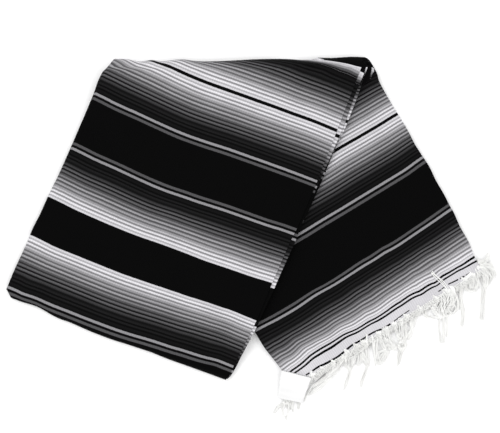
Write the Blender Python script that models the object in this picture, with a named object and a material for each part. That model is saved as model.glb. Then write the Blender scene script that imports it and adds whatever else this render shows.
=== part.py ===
"""Serape blanket, folded and laid flat.

A striped, woven blanket about 1.52 m wide and 1.83 m long. It is folded in four along its
length and in half across it, so that one stretch is a pack of eight layers. The pack is then
turned over on itself along a slanting line, which makes the upper fold: the front stretch
lies down to the left, over the back stretch, which runs down to the right and ends in the
blanket's two fringed ends.

Frame: metres, +Z up, the floor at Z = 0, +X to the right and +Y towards the upper fold, with
the origin on the floor under the middle of the whole outline.

The top layer of each stretch is a cloth wall of its own. The layers below it are one rounded
body for each stretch, with every layer's edge showing at the selvages and folds.
"""
import math
import random
from dataclasses import dataclass
from typing import NamedTuple

import bmesh
import bpy
from mathutils import Vector

MM = 0.001

# Cloth and pack
CLOTH = 2.2 * MM          # one layer of woven cloth
SEAM = 0.3 * MM           # clearance between neighbouring pieces
PACK = 16.0 * MM          # eight layers lying on each other
FOLD = PACK / 4           # radius of the lengthwise fold of four layers
UNDER = CLOTH + SEAM      # depth at which the hidden layers start

# Sections
ACROSS = 12               # spans across a stretch
LIP_STEPS = 5             # spans round a lengthwise fold
FRONT_STATIONS = 19
BACK_STATIONS = 17
END_CROWD = 0.45          # how much closer stations lie near both ends: 0 is even
WRAP_STEPS = 8            # spans of the half turn round the upper and lower folds
NOSE_STEPS = 5            # spans of the quarter turn of the hidden layers inside them
END_PEAK = 27 / 4         # makes the bow of an end, which is fullest at a third, reach 1

# Front stretch over the back one
DROP_START = 10 * MM      # beyond the back stretch's left edge the front starts to sink
DROP_LENGTH = 62 * MM     # and after this length it lies on the floor

# Lip of a wall round the lengthwise fold
LIP_TURN = math.radians(172)
OPEN_LIP_TURN = math.radians(100)     # at the two ends of the front stretch
LIP_EASE = 0.07           # share of the length over which the lip opens to an end
LIP_SEAM = 0.6 * MM       # clearance inside the lip

# Hidden layers
GROOVE = 3.0 * MM         # depth of the groove between two layers' edges
NIP = 0.2 * MM            # half the width of such a groove
FOLD_NOTCH = 1.5 * MM     # depth of the notch between the two lengthwise folds
REACH_RUN = 0.75          # share of the length over which an edge's reach changes

# Folds at the two ends of the front stretch
UPPER_TUCK_LEFT = 16 * MM     # the upper fold's corners are pulled in by this much
UPPER_TUCK_RIGHT = 80 * MM    # the top layer's selvage crosses the upper fold on a slant
NOSE_TUCK_RIGHT = 3 * MM      # and the layers below it reach nearly to the corner
LOWER_TUCK_LEFT = 9 * MM
LOWER_TUCK_RIGHT = 3 * MM
NOSE_INSET = 8.0 * MM     # inset of the hidden layers' left side in these folds
NOSE_TURN = math.radians(84)          # how far the hidden layers turn into these folds
NOSE_LEFT = 0.3           # shares of the hidden layers' reach that are left in these folds
NOSE_RIGHT = 0.6

# Fringed end
LEDGE = 3.5 * MM          # the lower end lies this much further out than the upper one
STRIP = 3.0 * MM          # width of the strip that a fringe is knotted into
STRIP_START = 0.012       # share across the end where the strip starts, and as much is left
NECK = 2.2 * MM           # half the width of a lock between the strip and its knot
NECK_BOW = 2.0 * MM
NECK_ROOT = 0.6           # a neck's half width at the strip, as a share of that at the knot
KNOT = 4.4 * MM
KNOT_FLAT = 0.8           # height of a knot as a share of its width
UPPER_KNOT_HEIGHT = 7.5 * MM
LOWER_KNOT_HEIGHT = 4.6 * MM
YARN = 1.5 * MM           # half the width of a tail
TAIL_BOW = 3.0 * MM       # largest sideways bow of a tail
TAIL_TAPER = (1.0, 1.0, 0.9, 0.6)     # half widths along a tail, as shares of the full one
SHORTEST_TAIL = 0.82      # as a share of the longest
CLEAR = 0.9 * MM          # a lock's end stays this far above the floor
FRINGE_SEED = 11

# Label
LABEL_THICK = 1.0 * MM


@dataclass(frozen=True)
class Stretch:
    """Outline of one stretch of the pack in plan, between the lines where its ends begin.

    Corners are (x, y) on the centre line of the left fold and on the right selvage. Each side
    bulge is how far the middle of that side stands outside the straight line, and the end bulge
    is how far the last section bows out.
    """

    top_left: tuple
    top_right: tuple
    bottom_left: tuple
    bottom_right: tuple
    left_bulge: float
    right_bulge: float
    end_bulge: float

    def side(self, top, bottom, bulge, outward, s):
        """Point on one side at share s of its length."""
        top, bottom = Vector(top), Vector(bottom)
        along = (bottom - top).normalized()
        normal = Vector((-along.y, along.x)) * outward
        return top.lerp(bottom, s) + normal * bulge * math.sin(math.pi * s)

    def ends(self, s):
        """Left and right end of the section at s."""
        left = self.side(self.top_left, self.bottom_left, self.left_bulge, -1, s)
        right = self.side(self.top_right, self.bottom_right, self.right_bulge, 1, s)
        return left, right

    def across(self, s):
        """Unit vector from left to right along the section at s."""
        left, right = self.ends(s)
        return (right - left).normalized()

    def outward(self, s):
        """Unit vector that leaves the stretch square to its first or last section."""
        across = self.across(s)
        normal = Vector((-across.y, across.x))
        return normal if s < 0.5 else -normal

    def spot(self, s, t, reach=0.0):
        """Plan point at share t across the section at s, moved sideways by reach."""
        left, right = self.ends(s)
        point = left.lerp(right, t) + self.across(s) * reach
        sag = self.end_bulge * END_PEAK * t * (1 - t) ** 2 * s ** 3
        return point + self.outward(1.0) * sag


FRONT = Stretch(top_left=(-0.2345, 0.2660), top_right=(0.1720, 0.2725),
                bottom_left=(-0.3890, -0.0820), bottom_right=(-0.0355, -0.2190),
                left_bulge=-0.002, right_bulge=0.006, end_bulge=0.005)
BACK = Stretch(top_left=(-0.2280, 0.2657), top_right=(0.1890, 0.2720),
               bottom_left=(0.0660, -0.2340), bottom_right=(0.3640, -0.0500),
               left_bulge=0.010, right_bulge=0.004, end_bulge=0.0)


class Reach(NamedTuple):
    """How far an edge stands out from the top layer's selvage at a stretch's two ends."""

    upper: float
    lower: float


class LayerEdge(NamedTuple):
    """Edge of one hidden layer, or of the fold of two, at the selvage side of the pack.

    It takes up the depths from low to high, measured down from the top of the pack.
    """

    name: str
    low: float
    high: float
    front: Reach
    back: Reach


# From the floor up
LAYER_EDGES = (
    LayerEdge("under_selvage", 16.0 * MM, 14.1 * MM, Reach(0.0 * MM, -3.0 * MM), Reach(1.0 * MM, 1.5 * MM)),
    LayerEdge("under_second", 14.1 * MM, 12.2 * MM, Reach(2.0 * MM, -4.0 * MM), Reach(0.5 * MM, -1.5 * MM)),
    LayerEdge("under_fold", 12.2 * MM, 8.3 * MM, Reach(5.0 * MM, -4.0 * MM), Reach(-1.0 * MM, -0.5 * MM)),
    LayerEdge("fold", 8.3 * MM, 4.4 * MM, Reach(13.0 * MM, -2.5 * MM), Reach(1.0 * MM, 1.5 * MM)),
    LayerEdge("second_selvage", 4.4 * MM, 2.5 * MM, Reach(7.0 * MM, 1.5 * MM), Reach(0.5 * MM, -0.5 * MM)),
)


class Ridge(NamedTuple):
    """Soft ridge of the back stretch that runs up from its fringed end.

    place and half_width are shares across the stretch, and length is a share of its length.
    """

    place: float
    half_width: float
    height: float
    length: float


RIDGES = (
    Ridge(0.16, 0.045, 2.4 * MM, 0.34),
    Ridge(0.30, 0.050, 1.6 * MM, 0.28),
    Ridge(0.52, 0.070, 1.2 * MM, 0.22),
    Ridge(0.86, 0.050, 1.5 * MM, 0.20),
)


class Tassel(NamedTuple):
    """Knotted lock of warp ends.

    root is the share across the fringed end, knot and tip are plan points, and spread is how
    far the outer tails lie from the middle one at their ends.
    """

    root: float
    knot: tuple
    tip: tuple
    tails: int
    spread: float


UPPER_TASSELS = (
    Tassel(0.985, (0.3755, -0.0560), (0.3870, -0.0500), 4, 19 * MM),
    Tassel(0.945, (0.3560, -0.0740), (0.3675, -0.1240), 3, 5 * MM),
    Tassel(0.880, (0.3320, -0.0930), (0.3345, -0.1370), 3, 5 * MM),
    Tassel(0.762, (0.2980, -0.1240), (0.3040, -0.1660), 4, 8 * MM),
    Tassel(0.655, (0.2540, -0.1330), (0.2360, -0.1990), 4, 8 * MM),
    Tassel(0.535, (0.2240, -0.1520), (0.2440, -0.1800), 3, 7 * MM),
    Tassel(0.405, (0.1900, -0.1760), (0.1720, -0.2280), 4, 12 * MM),
    Tassel(0.290, (0.1530, -0.1960), (0.1700, -0.2060), 3, 8 * MM),
    Tassel(0.180, (0.1180, -0.2160), (0.0860, -0.2440), 4, 9 * MM),
)
LOWER_TASSELS = (
    Tassel(0.915, (0.3450, -0.0840), (0.3500, -0.1120), 3, 4 * MM),
    Tassel(0.820, (0.3160, -0.1040), (0.3200, -0.1300), 3, 5 * MM),
    Tassel(0.705, (0.2780, -0.1240), (0.2830, -0.1500), 3, 5 * MM),
    Tassel(0.465, (0.2070, -0.1680), (0.2100, -0.1960), 3, 6 * MM),
    Tassel(0.235, (0.1360, -0.2120), (0.1280, -0.2360), 3, 6 * MM),
    Tassel(0.045, (0.0570, -0.2620), (0.0530, -0.2800), 4, 17 * MM),
)


class LabelRow(NamedTuple):
    """Heights of the label's two sides at a share of its length."""

    share: float
    left_height: float
    right_height: float


# Label: corners in plan, and its rows from the stitched edge to the free one
LABEL_STITCHED = ((0.047, -0.2075), (0.093, -0.220))
LABEL_FREE = ((0.039, -0.2535), (0.079, -0.2615))
LABEL_ROWS = (
    LabelRow(0.00, 17.4 * MM, 17.8 * MM),
    LabelRow(0.30, 17.4 * MM, 17.6 * MM),
    LabelRow(0.55, 17.2 * MM, 16.6 * MM),
    LabelRow(0.80, 14.2 * MM, 14.4 * MM),
    LabelRow(1.00, 10.8 * MM, 12.0 * MM),
)
LABEL_ACROSS = 4

BLACK = (0.012, 0.011, 0.015)
GREY = (0.30, 0.30, 0.32)
WHITE = (0.80, 0.79, 0.78)
CREAM = (0.78, 0.77, 0.71)


def ease(value):
    """Smooth step from 0 to 1."""
    value = min(max(value, 0.0), 1.0)
    return value * value * (3 - 2 * value)


def make_collection(name):
    """New collection in the scene."""
    collection = bpy.data.collections.new(name)
    bpy.context.scene.collection.children.link(collection)
    return collection


def make_material(name, colour, roughness):
    """Plain cloth or yarn material."""
    material = bpy.data.materials.new(name)
    material.use_nodes = True
    shader = material.node_tree.nodes["Principled BSDF"]
    shader.inputs["Base Color"].default_value = (*colour, 1.0)
    shader.inputs["Roughness"].default_value = roughness
    shader.inputs["Metallic"].default_value = 0.0
    return material


def loft_rings(name, rings, collection):
    """One closed body through a list of closed rings that all have the same point count."""
    mesh = bmesh.new()
    verts = [[mesh.verts.new(point) for point in ring] for ring in rings]
    count = len(rings[0])
    for near, far in zip(verts, verts[1:]):
        for i in range(count):
            j = (i + 1) % count
            mesh.faces.new((near[i], near[j], far[j], far[i]))
    mesh.faces.new(list(reversed(verts[0])))
    mesh.faces.new(verts[-1])
    bmesh.ops.triangulate(mesh, faces=mesh.faces[:])
    bmesh.ops.recalc_face_normals(mesh, faces=mesh.faces[:])
    data = bpy.data.meshes.new(name)
    mesh.to_mesh(data)
    mesh.free()
    piece = bpy.data.objects.new(name, data)
    collection.objects.link(piece)
    return piece


def finish(piece, material, sharp=40):
    """Give a piece its material and shade its round parts smooth."""
    piece.data.materials.append(material)
    piece.data.shade_smooth()
    piece.data.set_sharp_from_angle(angle=math.radians(sharp))


def beyond_back(point):
    """How far a plan point lies beyond the left edge of the back stretch."""
    left, right = Vector(BACK.top_left), Vector(BACK.bottom_left)
    along = (right - left).normalized()
    outside = Vector((along.y, -along.x))
    return (point - left).dot(outside) - BACK.left_bulge


def front_base(point):
    """Height of the front stretch's underside: on the back stretch, or down to the floor."""
    sunk = ease((beyond_back(point) - DROP_START) / DROP_LENGTH)
    return (PACK + SEAM) * (1 - sunk)


def back_height(s, t):
    """Height of the back stretch's top, with its soft ridges towards the fringed end."""
    height = PACK
    for ridge in RIDGES:
        bell = math.exp(-((t - ridge.place) / ridge.half_width) ** 2)
        height += ridge.height * bell * ease((s - 1 + ridge.length) / ridge.length)
    return height


def front_level(point, s, t):
    """Underside and top of the front stretch at a plan point."""
    base = front_base(point)
    return base, base + PACK


def back_level(point, s, t):
    """Underside and top of the back stretch at a plan point."""
    return 0.0, back_height(s, t)


def shares(count):
    """Shares from 0 to 1."""
    return [i / count for i in range(count + 1)]


def fold_arc(radius, centre_depth, turns, inset=0.0):
    """Points (t, reach, depth) round the left fold, from the first turn to the last."""
    return [(0.0, inset - radius * math.sin(turn), centre_depth - radius * math.cos(turn))
            for turn in turns]


def wall_profile(lip_turn):
    """Closed section of a top layer: its lip round the left fold, its top and its selvage."""
    turns = [lip_turn * (1 - share) for share in shares(LIP_STEPS)]
    outer = fold_arc(FOLD, FOLD, turns)
    outer += [(share, 0.0, 0.0) for share in shares(ACROSS)[1:-1]]
    outer += [(1.0, -CLOTH / 4, 0.0), (1.0, 0.0, CLOTH / 2), (1.0, -CLOTH / 4, CLOTH)]
    inner = [(share, 0.0, CLOTH) for share in reversed(shares(ACROSS)[1:-1])]
    inner += fold_arc(FOLD - CLOTH, FOLD, list(reversed(turns)))
    return outer + inner


def reach_at(reach, s):
    """How far a hidden layer's edge stands out from the top layer's selvage at s."""
    return reach.lower + (reach.upper - reach.lower) * (1 - ease(s / REACH_RUN))


def layers_profile(reaches, left_scale=1.0, right_scale=1.0):
    """Closed section of the hidden layers, with both folds and every layer's edge.

    reaches has one value for each layer edge, and the scales draw the two sides in.
    """
    half_turn = [math.pi * share for share in shares(LIP_STEPS)]
    upper = fold_arc(FOLD - CLOTH - LIP_SEAM, FOLD, half_turn, inset=LIP_SEAM)
    split = 2 * FOLD + SEAM
    radius = (PACK - split) / 2
    groove = [(0.0, FOLD_NOTCH, 2 * FOLD - CLOTH - LIP_SEAM), (0.0, FOLD_NOTCH, split)]
    lower = fold_arc(radius, split + radius, half_turn)
    left = [(t, reach * left_scale, depth) for t, reach, depth in upper + groove + lower]
    floor = [(share, 0.0, PACK) for share in shares(ACROSS)[1:-1]]
    right = []
    reaches = [reach * right_scale for reach in reaches]
    for i, (edge, reach) in enumerate(zip(LAYER_EDGES, reaches)):
        if i:
            root = min(reach, reaches[i - 1]) - GROOVE
            right.append((1.0, root, edge.low))
        foot = 0.0 if i == 0 else NIP
        brow = 0.0 if i == len(LAYER_EDGES) - 1 else NIP
        middle = (edge.low + edge.high) / 2
        right += [(1.0, reach - CLOTH / 4, edge.low - foot), (1.0, reach, middle),
                  (1.0, reach - CLOTH / 4, edge.high + brow)]
    top = [(share, 0.0, UNDER) for share in reversed(shares(ACROSS)[1:-1])]
    return left + floor + right + top


def front_reaches(s):
    """Reaches of the front stretch's hidden edges at s."""
    return [reach_at(edge.front, s) for edge in LAYER_EDGES]


def back_reaches(s):
    """Reaches of the back stretch's hidden edges at s."""
    return [reach_at(edge.back, s) for edge in LAYER_EDGES]


def flat_ring(stretch, level, s, profile, step_in=0.0, start=0.0):
    """Ring of a section that lies flat. Depths share out the height between base and top.

    step_in moves the ring back from the stretch's end, and start is the share of the height
    below which the whole section is pressed.
    """
    ring = []
    for t, reach, depth in profile:
        point = stretch.spot(s, t, reach) - stretch.outward(s) * step_in
        base, top = level(point, s, t)
        share = start + (1 - start) * depth / PACK
        ring.append((point.x, point.y, top - (top - base) * share))
    return ring


def tucked(stretch, s, t, reach, turn_share, tucks):
    """Plan point of a section whose two corners are pulled in as it goes round a fold."""
    tuck_left, tuck_right = tucks
    shift = (1 - t) ** 3 * tuck_left - t ** 3 * tuck_right
    return stretch.spot(s, t, reach + shift * turn_share)


def wrap_ring(stretch, s, turn, radius, height, profile, tucks):
    """Ring of the wall at one turn round an end's fold, whose axis lies at a height."""
    ring = []
    for t, reach, depth in profile:
        point = tucked(stretch, s, t, reach, math.sin(turn), tucks)
        arm = radius - depth
        point = point + stretch.outward(s) * arm * math.sin(turn)
        ring.append((point.x, point.y, height + arm * math.cos(turn)))
    return ring


def nose_ring(stretch, s, turn, radius, height, profile, tucks):
    """Ring of the hidden layers inside an end's fold, half as high as the fold is there."""
    ring = []
    half = radius * math.cos(turn)
    for t, reach, depth in profile:
        point = tucked(stretch, s, t, reach, math.sin(turn), tucks)
        point = point + stretch.outward(s) * radius * math.sin(turn)
        share = (depth - UNDER) / (PACK - UNDER)
        ring.append((point.x, point.y, height + half * (1 - 2 * share)))
    return ring


def lip_turn_at(s):
    """Turn of the front wall's lip round the left fold, which opens near both ends."""
    near_end = min(s, 1 - s)
    return OPEN_LIP_TURN + (LIP_TURN - OPEN_LIP_TURN) * ease(near_end / LIP_EASE)


def end_spaced(count):
    """Shares from 0 to 1 that are closer together near both ends."""
    return [share + END_CROWD * (ease(share) - share) for share in shares(count)]


UPPER = {"s": 0.0, "radius": PACK + SEAM / 2, "height": PACK + SEAM / 2,
         "tucks": (UPPER_TUCK_LEFT, UPPER_TUCK_RIGHT)}
LOWER = {"s": 1.0, "radius": PACK / 2, "height": PACK / 2,
         "tucks": (LOWER_TUCK_LEFT, LOWER_TUCK_RIGHT)}


def build_front_wall(collection):
    """Top layer of the front stretch, from under the upper fold to under the lower one."""
    end_profile = wall_profile(lip_turn_at(0.0))
    turns = [math.pi * share for share in shares(WRAP_STEPS)]
    rings = [wrap_ring(FRONT, turn=turn, profile=end_profile, **UPPER)
             for turn in reversed(turns[1:])]
    rings += [flat_ring(FRONT, front_level, s, wall_profile(lip_turn_at(s)))
              for s in end_spaced(FRONT_STATIONS)]
    rings += [wrap_ring(FRONT, turn=turn, profile=end_profile, **LOWER) for turn in turns[1:]]
    return loft_rings("front_stretch", rings, collection)


def nose_rings(stretch, fold, profile):
    """Rings of the hidden layers from the start of an end's fold to its furthest point."""
    radius = fold["radius"] - UNDER
    tucks = (fold["tucks"][0] + NOSE_INSET, NOSE_TUCK_RIGHT)
    turns = [NOSE_TURN * share for share in shares(NOSE_STEPS)]
    return [nose_ring(stretch, fold["s"], turn, radius, fold["height"], profile, tucks)
            for turn in turns]


def build_front_layers(collection):
    """Hidden layers of the front stretch, with the filling of its upper and lower folds."""
    upper_profile = layers_profile(front_reaches(0.0), NOSE_LEFT, NOSE_RIGHT)
    lower_profile = layers_profile(front_reaches(1.0), NOSE_LEFT, NOSE_RIGHT)
    rings = list(reversed(nose_rings(FRONT, UPPER, upper_profile)))
    for s in end_spaced(FRONT_STATIONS):
        step_in = SEAM if s in (0.0, 1.0) else 0.0
        rings.append(flat_ring(FRONT, front_level, s, layers_profile(front_reaches(s)), step_in))
    rings += nose_rings(FRONT, LOWER, lower_profile)
    return loft_rings("front_layers", rings, collection)


def build_back_wall(collection):
    """Top layer of the back stretch, from inside the upper fold to the fringed end."""
    rings = []
    for s in end_spaced(BACK_STATIONS):
        step_in = {0.0: 3 * SEAM, 1.0: SEAM}.get(s, 0.0)
        rings.append(flat_ring(BACK, back_level, s, wall_profile(LIP_TURN), step_in))
    return loft_rings("back_stretch", rings, collection)


def build_back_layers(collection):
    """Hidden layers of the back stretch. Its four lower layers end a little further out."""
    rings = []
    for s in end_spaced(BACK_STATIONS):
        step_in = SEAM if s == 0.0 else 0.0
        rings.append(flat_ring(BACK, back_level, s, layers_profile(back_reaches(s)), step_in))
    end_profile = layers_profile(back_reaches(1.0))
    for step_out in (SEAM, LEDGE):
        rings.append(flat_ring(BACK, back_level, 1.0, end_profile, -step_out, start=0.5))
    return loft_rings("back_layers", rings, collection)


def tube_rings(path, radii, sides=4):
    """Rings of a lock of yarns along a path that never runs straight up."""
    rings = []
    for i, centre in enumerate(path):
        ahead = path[min(i + 1, len(path) - 1)] - path[max(i - 1, 0)]
        side = ahead.cross(Vector((0, 0, 1))).normalized()
        lift = side.cross(ahead).normalized()
        turns = [2 * math.pi * (k + 0.5) / sides for k in range(sides)]
        rings.append([centre + radii[i] * (math.cos(turn) * side + math.sin(turn) * lift)
                      for turn in turns])
    return rings


def arc_path(start, end, bow, steps):
    """Points from start to end on a curve that bows sideways in plan and sinks early."""
    across = Vector((end.y - start.y, start.x - end.x, 0)).normalized()
    path = []
    for share in shares(steps):
        point = start.lerp(end, share) + across * bow * math.sin(math.pi * share)
        point.z = start.z + (end.z - start.z) * ease(share)
        path.append(point)
    return path


def build_knot(name, centre, collection):
    """Overhand knot of a tassel as a small rounded lump."""
    mesh = bmesh.new()
    bmesh.ops.create_uvsphere(mesh, u_segments=6, v_segments=4, radius=KNOT)
    bmesh.ops.scale(mesh, vec=(1.0, 1.0, KNOT_FLAT), verts=mesh.verts[:])
    bmesh.ops.translate(mesh, vec=centre, verts=mesh.verts[:])
    data = bpy.data.meshes.new(name)
    mesh.to_mesh(data)
    mesh.free()
    knot = bpy.data.objects.new(name, data)
    collection.objects.link(knot)


def build_tassel(name, tassel, root, knot_height, draw, collection):
    """Two necks from the strip to a knot, and the loose tails beyond it."""
    knot = Vector((*tassel.knot, knot_height))
    tip = Vector((*tassel.tip, CLEAR + YARN))
    build_knot(name + "_knot", knot, collection)
    for i, side in enumerate((-1, 1)):
        start = root + BACK.across(1.0).to_3d() * side * NECK * 1.5
        path = arc_path(start, knot, side * NECK_BOW, 2)
        radii = [NECK * NECK_ROOT, NECK, NECK]
        loft_rings(f"{name}_neck_{i}", tube_rings(path, radii), collection)
    hang = tip - knot
    hang.z = 0
    across = Vector((hang.y, -hang.x, 0)).normalized()
    for i in range(tassel.tails):
        fan = 2 * i / (tassel.tails - 1) - 1
        cut = draw.uniform(SHORTEST_TAIL, 1.0)
        end = knot + hang * cut + across * fan * tassel.spread
        end.z = tip.z
        start = knot + across * fan * YARN
        start.z = knot.z - YARN * (i % 2)
        path = arc_path(start, end, draw.uniform(-TAIL_BOW, TAIL_BOW), len(TAIL_TAPER) - 1)
        radii = [YARN * taper for taper in TAIL_TAPER]
        loft_rings(f"{name}_tail_{i}", tube_rings(path, radii, sides=3), collection)


def build_strip(name, low, high, step_out, collection):
    """Narrow strip along the fringed end that the locks are knotted into."""
    rings = []
    for t in shares(ACROSS):
        t = STRIP_START + (1 - 2 * STRIP_START) * t
        near = BACK.spot(1.0, t) + BACK.outward(1.0) * (step_out + SEAM)
        far = near + BACK.outward(1.0) * STRIP
        rings.append([(near.x, near.y, low), (far.x, far.y, low + SEAM),
                      (far.x, far.y, high - SEAM), (near.x, near.y, high)])
    return loft_rings(name, rings, collection)


def build_fringe(fringe, tassels, low, high, step_out, knot_height, parts, cutters):
    """One fringed end: its strip with every tassel joined to it."""
    strip = build_strip(f"fringe_{fringe}", low, high, step_out, parts)
    locks = bpy.data.collections.new(f"locks_{fringe}")
    cutters.children.link(locks)
    draw = random.Random(f"{FRINGE_SEED}-{fringe}")
    for i, tassel in enumerate(tassels):
        plan = BACK.spot(1.0, tassel.root)
        plan += BACK.outward(1.0) * (step_out + SEAM + STRIP * 0.75)
        root = Vector((plan.x, plan.y, (low + high) / 2))
        build_tassel(f"{fringe}_{i}", tassel, root, knot_height, draw, locks)
    for lock in locks.objects:
        lock.hide_render = True
        lock.display_type = "WIRE"
    join = strip.modifiers.new("Join locks", "BOOLEAN")
    join.operation = "UNION"
    join.solver = "EXACT"
    join.operand_type = "COLLECTION"
    join.collection = locks
    join.use_self = True
    return strip


def build_label(collection):
    """Bare woven label that lies over the corner of the fringed end."""
    rings = []
    for row in LABEL_ROWS:
        left = Vector(LABEL_STITCHED[0]).lerp(Vector(LABEL_FREE[0]), row.share)
        right = Vector(LABEL_STITCHED[1]).lerp(Vector(LABEL_FREE[1]), row.share)
        edge = []
        for t in shares(LABEL_ACROSS):
            point = left.lerp(right, t)
            height = row.left_height * (1 - t) + row.right_height * t
            edge.append((point.x, point.y, height))
        lower = [(x, y, z - LABEL_THICK) for x, y, z in reversed(edge)]
        rings.append(edge + lower)
    return loft_rings("label", rings, collection)


def main():
    """Clear the scene and build every piece."""
    for old in list(bpy.data.objects):
        bpy.data.objects.remove(old, do_unlink=True)
    parts = make_collection("serape")
    cutters = make_collection("serape_cutters")
    black = make_material("black_wool", BLACK, 0.9)
    grey = make_material("grey_wool", GREY, 0.9)
    cream = make_material("cream_yarn", CREAM, 0.85)
    white = make_material("white_label", WHITE, 0.7)
    finish(build_front_wall(parts), black)
    finish(build_back_wall(parts), grey)
    finish(build_front_layers(parts), grey)
    finish(build_back_layers(parts), black)
    middle = PACK - 2 * FOLD
    upper = build_fringe("upper", UPPER_TASSELS, middle + 2 * SEAM, PACK - CLOTH, 0.0,
                         UPPER_KNOT_HEIGHT, parts, cutters)
    finish(upper, cream)
    lower = build_fringe("lower", LOWER_TASSELS, SEAM, middle - 5 * SEAM, LEDGE,
                         LOWER_KNOT_HEIGHT, parts, cutters)
    finish(lower, cream)
    finish(build_label(parts), white)


main()
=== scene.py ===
"""Looks of the folded serape blanket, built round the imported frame.

Every length is in metres. The blanket is one woven length. It is folded in four along its
length and in half across it, then turned over on itself at the upper fold. Each stretch shows
its top layer, and the folded layers under it show at the selvages, the folds and the fringed
end. Stripes follow a chart of where each one lies on the cloth.
"""

import logging
import math
import random
from dataclasses import dataclass, field
from enum import Enum
from typing import Callable, NamedTuple, Optional, Sequence

import bmesh
import bpy
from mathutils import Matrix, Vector


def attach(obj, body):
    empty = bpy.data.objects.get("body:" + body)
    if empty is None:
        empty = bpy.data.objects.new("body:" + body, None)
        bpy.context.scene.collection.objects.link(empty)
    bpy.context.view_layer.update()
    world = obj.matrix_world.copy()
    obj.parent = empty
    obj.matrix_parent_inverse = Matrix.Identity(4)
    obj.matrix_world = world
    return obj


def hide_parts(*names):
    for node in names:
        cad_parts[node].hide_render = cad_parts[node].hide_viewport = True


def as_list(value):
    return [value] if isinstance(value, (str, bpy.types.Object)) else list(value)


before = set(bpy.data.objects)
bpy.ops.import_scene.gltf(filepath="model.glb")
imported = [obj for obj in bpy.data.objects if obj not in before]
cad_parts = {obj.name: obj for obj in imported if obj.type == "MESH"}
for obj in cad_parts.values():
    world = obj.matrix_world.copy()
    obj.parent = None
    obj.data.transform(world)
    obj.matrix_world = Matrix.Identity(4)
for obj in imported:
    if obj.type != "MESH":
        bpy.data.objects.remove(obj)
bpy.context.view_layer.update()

LOG = logging.getLogger("serape")

MM = 0.001
# How far the pack turns round a fold
TURN = math.pi

# Cloth and pack, as the solids have them
CLOTH = 2.2 * MM
SEAM = 0.3 * MM
PACK = 16.0 * MM
FOLD = PACK / 4
UNDER = CLOTH + SEAM

# Makes the bow of a stretch's end, which is fullest at a third across, reach its whole size
END_PEAK = 27 / 4

# Share across within which the left side's waves draw the cloth with them
LIP_SHARE = 0.06

# One unit of the stripe chart on the cloth
COURSE = 1.59 * MM


def ease(value: float) -> float:
    """Smooth step from 0 to 1."""
    value = min(max(value, 0.0), 1.0)
    return value * value * (3 - 2 * value)


def smooth_value(places: Sequence[float], values: Sequence[float], at: float) -> float:
    """Value at one place on a smooth curve.

    Args:
        places: rising places at which the values are given.
        values: value at each of them.
        at: place that is asked for. Beyond the ends the curve goes on straight.

    Returns:
        The curve's value there.
    """
    last = len(places) - 1
    i = max([k for k in range(last) if places[k] <= at], default=0)
    gap = places[i + 1] - places[i]
    slopes = []
    for k in (i, i + 1):
        low, high = max(k - 1, 0), min(k + 1, last)
        slopes.append((values[high] - values[low]) / (places[high] - places[low]))
    if at < places[0]:
        return values[0] + slopes[0] * (at - places[0])
    if at > places[last]:
        return values[last] + slopes[1] * (at - places[last])
    x = (at - places[i]) / gap
    x2, x3 = x * x, x * x * x
    return ((2 * x3 - 3 * x2 + 1) * values[i] + (x3 - 2 * x2 + x) * slopes[0] * gap
            + (3 * x2 - 2 * x3) * values[i + 1] + (x3 - x2) * slopes[1] * gap)


def wave(rows: Sequence[tuple[float, float]], at: float) -> float:
    """Smooth value of a table of places and millimetres, in metres."""
    places, sizes = zip(*rows)
    return smooth_value(places, sizes, min(max(at, places[0]), places[-1])) * MM


def shares(count: int) -> list[float]:
    """Shares from 0 to 1."""
    return [i / count for i in range(count + 1)]


def linear(lightness: float) -> float:
    """Scene value of a lightness given from 0 to 255."""
    share = lightness / 255
    return share / 12.92 if share <= 0.04045 else ((share + 0.055) / 1.055) ** 2.4


# ---- Shape of the folded pack ----


class Edge(Enum):
    """Edges of the layers at the selvage side, from the top of the pack down."""

    SELVAGE = "selvage"
    SECOND_SELVAGE = "second_selvage"
    FOLD = "fold"
    UNDER_FOLD = "under_fold"
    UNDER_SECOND = "under_second"
    UNDER_SELVAGE = "under_selvage"


class Hem(NamedTuple):
    """How an edge lies at share s of the length.

    reach is how far it stands out from the side's line in millimetres, and drift how far its
    stripes are shifted against those of the top layer, in courses.
    """

    s: float
    reach: float
    drift: float = 0.0


@dataclass(frozen=True)
class Ridge:
    """Soft ridge or trough in plan, from one point to another.

    Its height fades out over its half width. Along its length it runs out beyond both points and
    fades there, both as shares of its length.
    """

    start: tuple[float, float]
    end: tuple[float, float]
    half_width: float
    height: float
    run_out: float = 0.3
    fade: float = 0.5

    def lift(self, point: Vector) -> float:
        """Height that the ridge adds at a plan point.

        Args:
            point: plan point.

        Returns:
            The added height.
        """
        start, end = Vector(self.start), Vector(self.end)
        along = end - start
        share = (point - start).dot(along) / along.length_squared
        if not -self.run_out < share < 1 + self.run_out:
            return 0.0
        off = (point - start - along * share).length / self.half_width
        ends = ease((share + self.run_out) / self.fade)
        ends *= ease((1 + self.run_out - share) / self.fade)
        return self.height * math.exp(-off * off) * ends


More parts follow.
